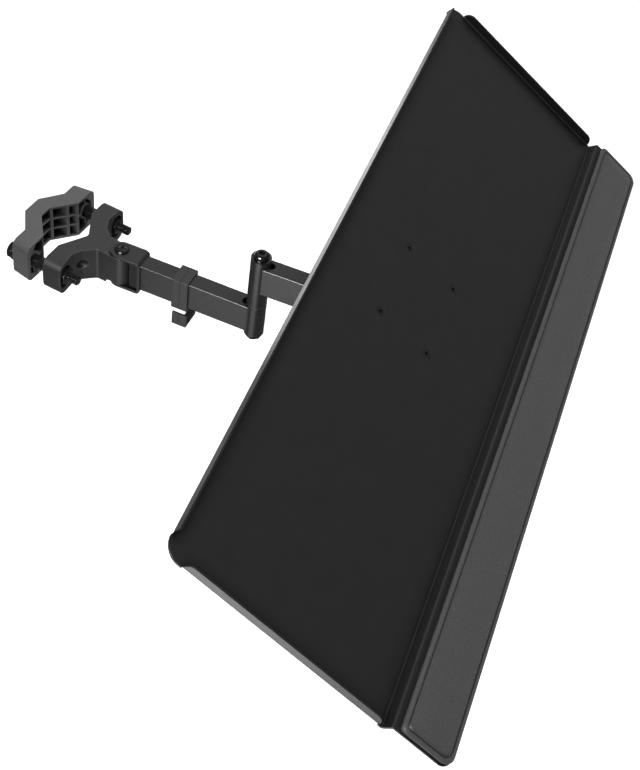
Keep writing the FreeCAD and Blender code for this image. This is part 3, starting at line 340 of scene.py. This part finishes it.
def turned(name, centre, axis, profile, wrapped=False):
    """A piece turned about an axis: centre + place * axis + radius * (cos, sin) of turn, square to it."""
    axis = np.array(axis, float)
    start = np.array([0.0, 0.0, 1.0]) if abs(axis[2]) < 0.9 else np.array([1.0, 0.0, 0.0])
    side = np.cross(start, axis)
    side /= np.linalg.norm(side)
    radius, place = profile
    out = radius[..., None] * (np.cos(TURN)[:, None] * side + np.sin(TURN)[:, None] * np.cross(axis, side))
    return swept(name, np.array(centre) + place[..., None] * axis + out, wrapped)


def fitted(piece, material, slot, body, *nodes):
    """Finish a new piece: its material, its body and the CAD nodes it stands for. The slot is not used."""
    piece.data.materials.append(material)
    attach(piece, body)
    if nodes:
        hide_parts(*nodes)
    return piece


def sharp(piece, degrees=35):
    """Keep the edges sharp where two faces meet at more than an angle."""
    piece.data.set_sharp_from_angle(angle=np.radians(degrees))
    return piece


clamp = axes_of(joints["jaw_slide"]["axis"])
low, high = reach_of("clamp_bolts", clamp, (0, 0, 0))
tip, crown = low[1], high[1]
seat = crown - BOLT_HEAD
shank = joined(
    rings((TIP_CENTRE * BOLT_RADIUS, tip), *shank_end(BOLT_RADIUS, tip)),
    thread(BOLT_RADIUS, BOLT_PITCH, tip + THREAD_START * BOLT_RADIUS, tip + THREAD_SHOWN),
    rings((BOLT_RADIUS, seat)),
    chamfered(BOLT_ACROSS, seat, crown),
    rings((HEAD_RIM * BOLT_ACROSS, crown), (HEAD_DISH * BOLT_ACROSS, crown - DISH_DEEP * BOLT_HEAD)),
)
for side, label in ((-1, "left"), (1, "right")):
    bolt = turned(f"clamp_bolt_{label}", side * BOLT_HALF * clamp[0], clamp[1], shank)
    fitted(sharp(bolt), black_steel, "black_steel", "rear_clamp", "clamp_bolts")

# Clamp washers, sleeves and nuts: a washer under each head, a sleeve between the jaws,
# and a nut in each open recess of the front jaw. Black-plated steel, the nuts chamfered.

NUT_BORE = 4.05 * MM


def nut(name, centre, axis, across, bore, low, high):
    """A hexagon nut: a chamfered hexagon outside and a plain bore, closed into a ring."""
    inner = rings((bore, high), (bore, low))
    return sharp(turned(name, centre, axis, joined(chamfered(across, low, high), inner), wrapped=True))


dress(black_steel, "clamp_washers", "clamp_sleeves")
low, high = reach_of("clamp_nuts", clamp, (0, 0, 0))
for side, label in ((-1, "left"), (1, "right")):
    place = side * BOLT_HALF * clamp[0]
    piece = nut(f"clamp_nut_{label}", place, clamp[1], BOLT_ACROSS, NUT_BORE, low[1], high[1])
    fitted(piece, black_steel, "black_steel", "clamp", "clamp_nuts")

# Clevis: a folded steel bracket on the arm's end, one flange over and one under the jaw's neck.
# Powder-coated black with the arm that it is welded to.

ARM_TONES = (0.016, 0.021)
# Paler edges are partly wear and partly painted highlight along the tubes' top edges; hollows get painted shade.
ARM_FINISH = {
    "rough": 0.28, "grain": 0.7 * MM, "relief": 0.03 * MM, "edge_wear_and_highlight": 0.7, "specular": 0.34, "hollow_shade": 0.6}

arm_coat = coat("arm_coat", ARM_TONES, **ARM_FINISH)
dress(arm_coat, "clevis")

# Swivel screw: a black pan-head screw with a cross recess, down through both flanges and the neck.
# A bush and two thin washers of nylon turn on it, and a lock nut holds it below.

SWIVEL_SHANK = 3 * MM
SWIVEL_HEAD = 6.25 * MM
SWIVEL_RISE = 2.8 * MM
CROSS_WIDE = 0.85 * MM
CROSS_LONG = 3.6 * MM
CROSS_DEEP = 2.0 * MM
CROSS_WALL = 0.25 * MM
CROSS_SLOPE = 0.6
PAN_FOOT = 0.35
PAN_ROUND = 0.45
SWIVEL_NUT = 10 * MM

nylon = coat("nylon", (0.02, 0.028), rough=0.45, grain=0.4 * MM, relief=0.01 * MM, edge_wear_and_highlight=0.1)


def pan_head(rim, under, rise):
    """A pan head with a cross recess: a dome over its rim, less the cross where a point lies in a bar.

    Dome = 0.35 rise + 0.65 rise * (1 - (radius / rim) ^ 2) ^ 0.45.
    Recess = depth * (1 - radius / length) ^ 0.6 inside the nearer bar, with walls 0.25 mm wide.
    """
    outer = rim * np.cos(np.linspace(0, 1.2, 9))
    inner = SWIVEL_SHANK * np.linspace(0.66, 0.02, 34)
    radius = np.concatenate([outer, inner])
    radius = np.sort(radius)[::-1][:, None] + 0 * TURN
    x = np.abs(radius * np.cos(TURN))
    y = np.abs(radius * np.sin(TURN))
    bars = np.maximum(x - CROSS_LONG, y - CROSS_WIDE), np.maximum(y - CROSS_LONG, x - CROSS_WIDE)
    inside = np.clip(0.5 - np.minimum(*bars) / CROSS_WALL, 0, 1)
    dome = rise * (PAN_FOOT + (1 - PAN_FOOT) * np.clip(1 - (radius / rim) ** 2, 0, 1) ** PAN_ROUND)
    recess = CROSS_DEEP * (1 - np.clip(radius / CROSS_LONG, 0, 1)) ** CROSS_SLOPE * inside
    return radius, under + dome - recess


upright = (0.0, 0.0, 1.0)
swivel = np.array([*joints["clamp_swivel"]["pos_m"][:2], 0.0])
low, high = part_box("swivel_screw")
under = high.z - SWIVEL_RISE
screw = joined(
    rings(*shank_end(SWIVEL_SHANK, low.z), (SWIVEL_SHANK, under), (SWIVEL_HEAD, under)),
    pan_head(SWIVEL_HEAD, under, SWIVEL_RISE),
)
fitted(sharp(turned("swivel_pan_screw", swivel, upright, screw), degrees=50), black_steel, "black_steel",
       "inner_arm", "swivel_screw")
low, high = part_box("swivel_nut")
piece = nut("swivel_lock_nut", swivel, upright, SWIVEL_NUT, SWIVEL_SHANK, low.z, high.z)
fitted(piece, black_steel, "black_steel", "inner_arm", "swivel_nut")
dress(nylon, "swivel_bush", "swivel_washers")

# Inner arm: a rectangular steel tube from the clevis to the elbow's lower barrel, welded and coated.
# A small rippled weld bead runs down each side where the tube meets the barrel.
# The tube's end inside the clevis lies in the dark, and is painted black and dull there as painted shade.

TUBE_HALF = 7.75 * MM
BARREL_RADIUS = 8.5 * MM
WEB_SHEET = 2.4 * MM
BEAD = 1.0 * MM
BEAD_RIPPLE = 1.4 * MM
BEAD_SWELL = 0.1
BEAD_ROWS = 140


def bead(name, path, across, out):
    """A weld bead: a small round section carried along a straight path, its radius rippling on the way.

    Radius = bead * (0.9 + 0.1 * cos(2 pi * distance / ripple)), shrinking over one bead at both ends.
    """
    steps = np.linalg.norm(np.diff(path, axis=0), axis=1)
    along = np.concatenate([[0], np.cumsum(steps)])
    radius = BEAD * (1 - BEAD_SWELL + BEAD_SWELL * np.cos(2 * np.pi * along / BEAD_RIPPLE))
    radius *= np.sqrt(np.clip(np.minimum(along, along[-1] - along) / BEAD, 0.02, 1))
    turn = np.linspace(0, 2 * np.pi, 12, endpoint=False)[:, None]
    section = np.cos(turn) * across + np.sin(turn) * out
    return swept(name, path[:, None] + radius[:, None, None] * section)


def upright_beads(label, barrel, along, low, high, body):
    """The two beads between a tube's sides and a barrel, at the height where both meet."""
    sideways = np.cross(upright, along)
    meet = np.sqrt(BARREL_RADIUS ** 2 - TUBE_HALF ** 2)
    z = np.linspace(low + BEAD, high - BEAD, BEAD_ROWS)[:, None]
    for side, name in ((-1, "left"), (1, "right")):
        foot = barrel + meet * along + side * TUBE_HALF * sideways
        path = foot + z * np.array(upright)
        fitted(bead(f"{label}_weld_{name}", path, along, sideways), arm_coat, "arm_coat", body)


elbow = np.array([*joints["elbow"]["pos_m"][:2], 0.0])
inner = axes_of(swivel - elbow)
web = reach_of("clevis", inner, (0, 0, 0))[0][1] + WEB_SHEET
tube_coat = coat("tube_coat", ARM_TONES, painted_dark_end=(inner[1], web, web + MM), **ARM_FINISH)
dress(arm_coat, "lower_barrel")
dress(tube_coat, "inner_tube")
low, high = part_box("inner_tube")
upright_beads("lower_barrel", elbow, inner[1], low.z, high.z, "inner_arm")

# Elbow: a button-head bolt with a hexagon socket through both barrels, washers and a thin nut.
# The bushes in the barrels and the slip washer between them are nylon.

ELBOW_SHANK = 4 * MM
ELBOW_HEAD = 6.5 * MM
ELBOW_RISE = 4.6 * MM
ELBOW_SOCKET = 5 * MM
SOCKET_DEEP = 2.4 * MM
SOCKET_MOUTH = 1.03
SOCKET_CHAMFER = 0.06
SOCKET_CENTRE = 0.1
DOME_MOUTH = 0.62
DOME_FOOT = 0.2
ELBOW_NUT = 13 * MM
ELBOW_BORE = 4.05 * MM


def button_head(rim, under, rise, socket, deep):
    """A button head: a rounded dome that runs into a hexagon socket with a flat floor.

    The dome's rows turn a quarter ellipse from the rim to the socket, whose rows are the hexagon's.
    """
    swing = np.linspace(0, np.pi / 2, 12)
    top = under + rise
    mouth = DOME_MOUTH * socket
    foot = DOME_FOOT * rise
    dome = [(mouth + (rim - mouth) * np.cos(a), under + foot + (rise - foot) * np.sin(a)) for a in swing]
    hexagon = hexagon_at(TURN, socket)
    well = rings(
        (SOCKET_MOUTH * hexagon, top), (hexagon, top - SOCKET_CHAMFER * socket), (hexagon, top - deep),
        (SOCKET_CENTRE * socket, top - deep))
    return joined(rings((rim, under)), rings(*dome), well)


low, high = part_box("elbow_bolt")
under = high.z - ELBOW_RISE
bolt = joined(
    rings(*shank_end(ELBOW_SHANK, low.z), (ELBOW_SHANK, under)),
    button_head(ELBOW_HEAD, under, ELBOW_RISE, ELBOW_SOCKET, SOCKET_DEEP),
)
fitted(sharp(turned("elbow_button_bolt", elbow, upright, bolt), degrees=40), black_steel, "black_steel",
       "inner_arm", "elbow_bolt")
low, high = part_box("elbow_nut")
piece = nut("elbow_thin_nut", elbow, upright, ELBOW_NUT, ELBOW_BORE, low.z, high.z)
fitted(piece, black_steel, "black_steel", "inner_arm", "elbow_nut")
dress(black_steel, "elbow_washers")
dress(nylon, "lower_bush", "upper_bush", "elbow_slip_washer", "end_bush")

# Outer arm: a second tube from the elbow's upper barrel to the barrel under the tray.
# The same steel, welds and black coat as the inner arm.

pivot = np.array([*joints["tray_turn"]["pos_m"][:2], 0.0])
outer = axes_of(elbow - pivot)
dress(arm_coat, "outer_tube", "upper_barrel", "end_barrel")
low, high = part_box("outer_tube")
upright_beads("upper_barrel", elbow, -outer[1], low.z, high.z, "outer_arm")
upright_beads("end_barrel", pivot, outer[1], low.z, high.z, "outer_arm")

# Cable clip: a strap of moulded black plastic that slides on the inner tube, with a hook below.
# A fine parting line of the mould runs round the middle of its width, its groove darkened as painted shade.
# Its edges are painted paler, partly as wear and partly as painted highlight.

clip_low, clip_high = reach_of("cable_clip", inner, (0, 0, 0))
clip_moulding = coat("clip_moulding", (0.024, 0.029), rough=0.42, grain=0.3 * MM, relief=0.03 * MM,
                     edge_wear_and_highlight=0.3, specular=0.4, crease=(inner[1], (clip_low[1] + clip_high[1]) / 2))
dress(clip_moulding, "cable_clip")

# Tilt head: a turned and milled steel knuckle on the arm's end, coated black like the arm.
# A screw and washer hold its stem from below, and a nylon washer lies under its disc.

PIVOT_SHANK = 3 * MM
PIVOT_HEAD = 5 * MM
PIVOT_RISE = 3.6 * MM
PIVOT_SOCKET = 4 * MM

dress(arm_coat, "tilt_head")
dress(black_steel, "pivot_washer")
dress(nylon, "pivot_slip_washer")
low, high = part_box("pivot_screw")
downward = (0.0, 0.0, -1.0)
under = -low.z - PIVOT_RISE
screw = joined(
    rings(*shank_end(PIVOT_SHANK, -high.z), (PIVOT_SHANK, under)),
    button_head(PIVOT_HEAD, under, PIVOT_RISE, PIVOT_SOCKET, SOCKET_DEEP),
)
fitted(sharp(turned("pivot_socket_screw", pivot, downward, screw), degrees=40), black_steel, "black_steel",
       "tray_swivel", "pivot_screw")

# Tray bracket: a folded steel plate under the tray, its two ears on the tilt bolt. Coated like the arm.
# The tilt bolt and its lock nut are black-plated steel, and the washers beside the ears are nylon.

TILT_SHANK = 3 * MM
TILT_ACROSS = 10 * MM
TILT_HEAD = 4 * MM
TILT_BORE = 3.05 * MM

dress(arm_coat, "tray_bracket")
dress(nylon, "tilt_washers")
sideways = (1.0, 0.0, 0.0)
tilt = np.array([0.0, *joints["tray_tilt"]["pos_m"][1:]])
low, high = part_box("tilt_bolt")
under = low.x + TILT_HEAD
bolt = joined(
    rings((HEAD_RIM * TILT_ACROSS, low.x)),
    chamfered(TILT_ACROSS, low.x, under),
    rings((TILT_SHANK, under), (TILT_SHANK, high.x - END_CHAMFER * TILT_SHANK),
          ((1 - END_CHAMFER) * TILT_SHANK, high.x)),
)
fitted(sharp(turned("tilt_hex_bolt", tilt, sideways, bolt)), black_steel, "black_steel",
       "tray", "tilt_bolt")
low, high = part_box("tilt_nut")
piece = nut("tilt_lock_nut", tilt, sideways, TILT_ACROSS, TILT_BORE, low.x, high.x)
fitted(piece, black_steel, "black_steel", "tray", "tilt_nut")

# Tray: one folded steel sheet, lips up at the sides and back, a riser and a shelf in front.
# Black powder coat with a fine dry texture.

# Paler folds are partly wear and partly painted highlight; the riser's foot and other hollows get painted shade.
tray_coat = coat("tray_coat", (0.0095, 0.0125), rough=0.34, grain=0.5 * MM, relief=0.04 * MM,
                 edge_wear_and_highlight=0.06, specular=0.38, hollow_shade=0.95, open_sky=1.0)
dress(tray_coat, "tray_pan")

# Tray screws: four black screws with flush heads and hexagon sockets, sunk in the sheet.
# Each goes through the bracket, with a nut under it.

TRAY_SHANK = 2.5 * MM
TRAY_HEAD = 4.5 * MM
TRAY_SINK = 1.25 * MM
TRAY_SOCKET = 3 * MM
TRAY_SOCKET_DEEP = 1.3 * MM
TRAY_EDGE = 0.1 * MM
TRAY_SCREW_X = 38 * MM
TRAY_SCREW_Y = 25 * MM
TRAY_NUT = 8 * MM

face = next(mount for mount in frame["record"]["mounts"] if mount["name"] == "keyboard_face")
normal = np.array(face["axis"]) / np.linalg.norm(face["axis"])
tray = np.array([[1.0, 0.0, 0.0], np.cross(normal, (1.0, 0.0, 0.0)), normal])
hinge = np.array(joints["tray_tilt"]["pos_m"])
hinge[0] = pivot[0]
low, high = reach_of("tray_screws", tray, hinge)
nut_low, nut_high = reach_of("tray_nuts", tray, hinge)
top = high[2]
hexagon = hexagon_at(TURN, TRAY_SOCKET)
screw = rings(
    *shank_end(TRAY_SHANK, low[2]), (TRAY_SHANK, top - TRAY_SINK),
    (TRAY_HEAD, top - TRAY_EDGE), (TRAY_HEAD - TRAY_EDGE, top),
    (SOCKET_MOUTH * hexagon, top), (hexagon, top - TRAY_EDGE),
    (hexagon, top - TRAY_SOCKET_DEEP), (SOCKET_CENTRE * TRAY_SOCKET, top - TRAY_SOCKET_DEEP),
)
for x in (-1, 1):
    for y in (-1, 1):
        place = hinge + x * TRAY_SCREW_X * tray[0] + y * TRAY_SCREW_Y * tray[1]
        label = f"{'left' if x < 0 else 'right'}_{'front' if y < 0 else 'back'}"
        piece = sharp(turned(f"tray_screw_{label}", place, normal, screw), degrees=40)
        fitted(piece, black_steel, "black_steel", "tray", "tray_screws")
        piece = nut(f"tray_nut_{label}", place, normal, TRAY_NUT, TRAY_SHANK, nut_low[2], nut_high[2])
        fitted(piece, black_steel, "black_steel", "tray", "tray_nuts")

# Wrist rest: a stiff board glued on the shelf, foam on it, and a black leatherette cover sewn round
# the rim. The cover rolls over the edge as a welt, dips into the seam and rises to a low crown.

rest_board = coat("rest_board", (0.02, 0.03), rough=0.7, grain=0.4 * MM, relief=0.03 * MM, edge_wear_and_highlight=0.1)
dress(rest_board, "rest_base")

REST_CORNER = 9 * MM
REST_BACK_CORNER = 4.5 * MM
WELT = 3.4 * MM
SEAM = 1.6 * MM
SEAM_DEEP = 1.7 * MM
DRAWN_IN = 1.0 * MM
REST_CROWN = 1.2 * MM
REST_STEP = 2.5 * MM
LEATHER_TONES = (0.037, 0.051)
LEATHER_CREASE_SHADE = 0.024
LEATHER_ROUGH = (0.75, 0.5)
PEBBLES = 900.0
PEBBLE_RISE = 0.08 * MM
PEBBLE_WARP = 0.0012
WARP_SCALE = 420.0
PATCH_SCALE = 45.0
SEAM_SKY = (0.55, 0.97)
SEAM_DARKEST = 0.05


def leatherette(name):
    """Pebbled leatherette: Voronoi cells about 1 mm across, raised and parted by fine creases.

    The creases are painted darker, and the seam's hollow too, as painted shade.
    """
    material, add, feed = new_finish(name)
    place = add("TexCoord", {}).outputs["Object"]
    warp = add("TexNoise", {"Vector": place, "Scale": WARP_SCALE, "Detail": 2.0})
    bent = add("MixRGB", {
        "Fac": PEBBLE_WARP, "Color1": place, "Color2": warp.outputs["Color"]}, blend_type="ADD")
    cells = add("TexVoronoi", {
        "Vector": bent.outputs["Color"], "Scale": PEBBLES}, feature="DISTANCE_TO_EDGE")
    pebble = add("MapRange", {
        "Value": cells.outputs["Distance"], "From Max": 0.25}, interpolation_type="SMOOTHSTEP")
    broad = add("TexNoise", {"Vector": place, "Scale": PATCH_SCALE, "Detail": 6.0})
    tone = add("MixRGB", {
        "Fac": broad.outputs["Fac"], "Color1": grey(LEATHER_TONES[0]), "Color2": grey(LEATHER_TONES[1])})
    # Painted shade: the creases between the pebbles are darker.
    pebble_shaded = add("MixRGB", {
        "Fac": pebble.outputs["Result"], "Color1": grey(LEATHER_CREASE_SHADE), "Color2": tone.outputs["Color"]})
    # Painted shade: the seam's hollow darkens by how much of the sky the cover hides.
    sky = add("AmbientOcclusion", {"Distance": 2 * SEAM}, samples=8, only_local=True)
    shade = add("MapRange", {
        "Value": sky.outputs["AO"], "From Min": SEAM_SKY[0], "From Max": SEAM_SKY[1],
        "To Min": SEAM_DARKEST})
    base = add("MixRGB", {
        "Fac": shade.outputs["Result"], "Color1": grey(0.0), "Color2": pebble_shaded.outputs["Color"]})
    gloss = add("MapRange", {
        "Value": pebble.outputs["Result"], "To Min": LEATHER_ROUGH[0], "To Max": LEATHER_ROUGH[1]})
    bump = add("Bump", {"Height": pebble.outputs["Result"], "Distance": PEBBLE_RISE, "Strength": 0.7})
    feed("Base Color", base.outputs["Color"])
    feed("Roughness", gloss.outputs["Result"])
    feed("Normal", bump.outputs["Normal"])
    feed("Sheen Weight", 0.15)
    feed("Specular IOR Level", 0.45)
    return material


def rim_points(half_long, half_deep, front_corner, back_corner, step):
    """Points round a rectangle with quarter-round corners, anticlockwise, about one step apart."""
    points = []
    for k, (sx, sy) in enumerate(((1, -1), (1, 1), (-1, 1), (-1, -1))):
        swing = np.radians(-90 + 90 * k + np.linspace(0, 90, 13))
        corner = front_corner if sy < 0 else back_corner
        centre = np.array([sx * (half_long - corner), sy * (half_deep - corner)])
        points.append(centre + corner * np.stack([np.cos(swing), np.sin(swing)], -1))
    outline = [points[0]]
    for k in range(4):
        start, end = points[k][-1], points[(k + 1) % 4][0]
        share = np.linspace(0, 1, int(np.linalg.norm(end - start) / step) + 1)[1:-1, None]
        outline.append(start + share * (end - start))
        if k < 3:
            outline.append(points[k + 1])
    return np.vstack(outline)


def cover_section(board, rim, crown, half_deep):
    """The cover's section from its foot to the middle, as (inset, height) rows.

    The side leans in to the foot, the welt is a half round of its own width, the seam a cosine dip,
    and the field rises as crown * (1 - (1 - share) ^ 3) to the middle.
    """
    side = [(DRAWN_IN * (1 - t) ** 2, board + (rim - board - WELT / 2) * t) for t in np.linspace(0, 1, 5)]
    swing = np.linspace(0, np.pi, 13)[1:-2]
    welt = [(WELT / 2 * (1 - np.cos(a)), rim - WELT / 2 + WELT / 2 * np.sin(a)) for a in swing]
    dip = []
    for t in np.linspace(0, 1, 5):
        dip.append((WELT + SEAM * t, rim - SEAM_DEEP * (0.5 + 0.5 * np.cos(np.pi * t))))
    start = WELT + SEAM
    field = []
    for t in np.linspace(0, 1, 16)[1:]:
        field.append((start + (half_deep - start) * t, rim + (crown - rim) * (1 - (1 - t) ** 3)))
    return np.array(side + welt + dip + field)


rest_cover = leatherette("rest_cover")
low, high = reach_of("wrist_pad", tray, hinge)
middle = (low + high) / 2
half = (high - low) / 2
rim_height = high[2] - REST_CROWN
outline = rim_points(half[0], half[1], REST_CORNER, REST_BACK_CORNER, REST_STEP)
section = cover_section(low[2], rim_height, high[2], half[1])
spine = np.stack([np.clip(outline[:, 0], half[1] - half[0], half[0] - half[1]), 0 * outline[:, 1]], -1)
share = (section[:, 0] / half[1])[:, None, None]
flat = outline * (1 - share) + spine * share
height = np.broadcast_to(section[:, 1][:, None, None], (*flat.shape[:2], 1))
local = np.concatenate([middle[:2] + flat, height], -1)
cover = swept("rest_cover", hinge + local @ tray, spine=True)
fitted(cover, rest_cover, "rest_cover", "tray", "wrist_pad")

# Seam stitching: one row of black thread through the cover, just inside the welt, all the way round.
# Each stitch is a short bowed length of thread that lies on the cover.

STITCH_PLACE = 1.1
STITCH_PITCH = 4.2 * MM
STITCH_HALF = 1.5 * MM
THREAD = 0.32 * MM
STITCH_RISE = 0.12 * MM


def stitch_row(name, loop, up):
    """A closed row of short stitches, evenly spaced along a loop of points.

    Each is a round section carried along the loop's direction for its length, whose radius is
    thread * sqrt(1 - share ^ 2) and whose middle bows up out of the cover by the same law.
    """
    loop = np.vstack([loop, loop[:1]])
    reach = np.concatenate([[0], np.cumsum(np.linalg.norm(np.diff(loop, axis=0), axis=1))])
    count = int(reach[-1] / STITCH_PITCH)
    at = (np.arange(count) + 0.5) * reach[-1] / count

    def point(distance):
        return np.stack([np.interp(distance % reach[-1], reach, loop[:, k]) for k in range(3)], -1)

    ahead = point(at + STITCH_HALF) - point(at - STITCH_HALF)
    ahead /= np.linalg.norm(ahead, axis=1)[:, None]
    aside = np.cross(up, ahead)
    share = np.linspace(-0.97, 0.97, 6)
    bow = np.sqrt(1 - share ** 2)
    turn = np.linspace(0, 2 * np.pi, 6, endpoint=False)
    middle = point(at)[:, None] + STITCH_HALF * share[None, :, None] * ahead[:, None]
    middle = middle + STITCH_RISE * bow[None, :, None] * up
    section = np.cos(turn)[None, :, None] * aside[:, None] + np.sin(turn)[None, :, None] * up
    points = middle[:, :, None] + THREAD * bow[None, :, None, None] * section[:, None]
    index = np.arange(points.size // 3).reshape(points.shape[:3])
    here, after = index[:, :-1], index[:, 1:]
    sides = np.stack([here, after, np.roll(after, -1, 2), np.roll(here, -1, 2)], -1).reshape(-1, 4).tolist()
    ends = index[:, 0].tolist() + index[:, -1, ::-1].tolist()
    mesh = bpy.data.meshes.new(name)
    mesh.from_pydata(points.reshape(-1, 3).tolist(), [], sides + ends)
    work = bmesh.new()
    work.from_mesh(mesh)
    bmesh.ops.recalc_face_normals(work, faces=work.faces)
    work.to_mesh(mesh)
    work.free()
    return shown(name, mesh)


thread_black = coat("thread_black", (0.03, 0.04), rough=0.6, grain=0.3 * MM, relief=0.02 * MM, edge_wear_and_highlight=0.0)
seam_in = (WELT + STITCH_PLACE * SEAM) / half[1]
seam_level = rim_height + THREAD / 2
seam = middle[:2] + outline * (1 - seam_in) + spine * seam_in
loop = np.concatenate([seam, np.full((len(seam), 1), seam_level)], -1)
fitted(stitch_row("rest_stitching", hinge + loop @ tray, normal), thread_black, "rest_cover", "tray")

# Studio: a pale floor well below the object, a dim sky and soft boxes. Some boxes only light the
# object, also from behind and below. Others only show in its gloss: the sheen box draws the near edges,
# and the panels fill the tops, the sides and the lips.

FLOOR_DROP = 0.6
FLOOR_SIZE = 16
FLOOR_GLOW = 0.55
SKY_GLOW = 0.18

floor_paint, add, feed = new_finish("floor_paint")
feed("Base Color", grey(0.85))
feed("Roughness", 0.9)
feed("Emission Color", grey(1.0))
feed("Emission Strength", FLOOR_GLOW)
mesh = bpy.data.meshes.new("floor")
corners = FLOOR_SIZE / 2 * np.array([(-1, -1, 0), (1, -1, 0), (1, 1, 0), (-1, 1, 0)], float)
corners[:, 2] = cad_low.z - FLOOR_DROP
mesh.from_pydata(corners.tolist(), [], [(0, 1, 2, 3)])
mesh.materials.append(floor_paint)
floor = bpy.data.objects.new("floor", mesh)
bpy.context.scene.collection.objects.link(floor)
floor.visible_glossy = False

world = bpy.data.worlds.new("sky")
world.use_nodes = True
world.node_tree.nodes["Background"].inputs["Color"].default_value = grey(1.0)
world.node_tree.nodes["Background"].inputs["Strength"].default_value = SKY_GLOW
bpy.context.scene.world = world


def softbox(name, place, target, width, height, power, lights=True, shows=True):
    """A rectangular area light that faces a point. It lights surfaces, shows in their gloss, or both."""
    light = bpy.data.lights.new(name, "AREA")
    light.shape = "RECTANGLE"
    light.size = width
    light.size_y = height
    light.energy = power
    lamp = bpy.data.objects.new(name, light)
    lamp.location = place
    lamp.rotation_euler = (Vector(target) - Vector(place)).to_track_quat("-Z", "Y").to_euler()
    lamp.visible_camera = False
    lamp.visible_diffuse = lights
    lamp.visible_glossy = shows
    bpy.context.scene.collection.objects.link(lamp)


MIDDLE = (0.0, -0.2, 0.05)

softbox("key", (-1.4, 0.15, 1.25), MIDDLE, 0.8, 0.8, 6, shows=False)
softbox("top", (0.45, -0.6, 1.65), MIDDLE, 1.2, 1.2, 38, shows=False)
softbox("near", (-0.75, -0.8, 0.8), (-0.3, -0.42, 0.0), 0.4, 0.4, 2, shows=False)
softbox("rear", (0.7, 1.6, 0.2), (0.0, 0.1, 0.0), 0.9, 0.9, 10, shows=False)
softbox("under", (0.2, 0.3, -0.5), (0.0, 0.0, 0.0), 1.0, 1.0, 12, shows=False)
softbox("sheen", (-1.45, 0.1, 1.25), MIDDLE, 0.9, 0.9, 120, lights=False)
softbox("far_panel", (1.25, 0.1, 1.4), (0.0, -0.15, 0.0), 1.4, 1.4, 3.9, lights=False)
softbox("arm_panel", (-0.54, -0.02, -0.58), (-0.54, -0.02, 0.0), 0.36, 0.5, 0.65, lights=False)
softbox("lip_panel", (-0.93, -0.15, -0.58), (-0.93, -0.15, 0.0), 0.36, 0.7, 5.4, lights=False)
softbox("back_panel", (1.15, 0.96, -0.42), (0.0, 0.0, 0.1), 1.0, 0.5, 5.4, lights=False)

# Camera: from the left, above and a little in front, at the photograph's angle.
# The lens is shifted a little, so that the object sits in the frame as it does there.

CAMERA_PLACE = (-0.7947, -0.4156, 0.8450)
CAMERA_RIGHT = Vector((0.3339, -0.9367, 0.1058))
CAMERA_FORWARD = Vector((0.6541, 0.1494, -0.7415))
SENSOR = 36.0
PICTURE_HIGH = 770
FOCAL_PIXELS = 1403.24
CENTRE_OFF = (6.51, -18.58)

lens = bpy.data.cameras.new("camera")
lens.sensor_width = SENSOR
lens.lens = FOCAL_PIXELS * SENSOR / PICTURE_HIGH
lens.shift_x = CENTRE_OFF[0] / PICTURE_HIGH
lens.shift_y = CENTRE_OFF[1] / PICTURE_HIGH
lens.clip_start = 0.01
camera = bpy.data.objects.new("camera", lens)
back = -CAMERA_FORWARD.normalized()
right = CAMERA_RIGHT.normalized()
turn = Matrix((right, back.cross(right), back)).transposed()
camera.matrix_world = Matrix.Translation(CAMERA_PLACE) @ turn.to_4x4()
bpy.context.scene.collection.objects.link(camera)
bpy.context.scene.camera = camera
bpy.context.scene.view_settings.view_transform = "Standard"

bpy.context.view_layer.update()
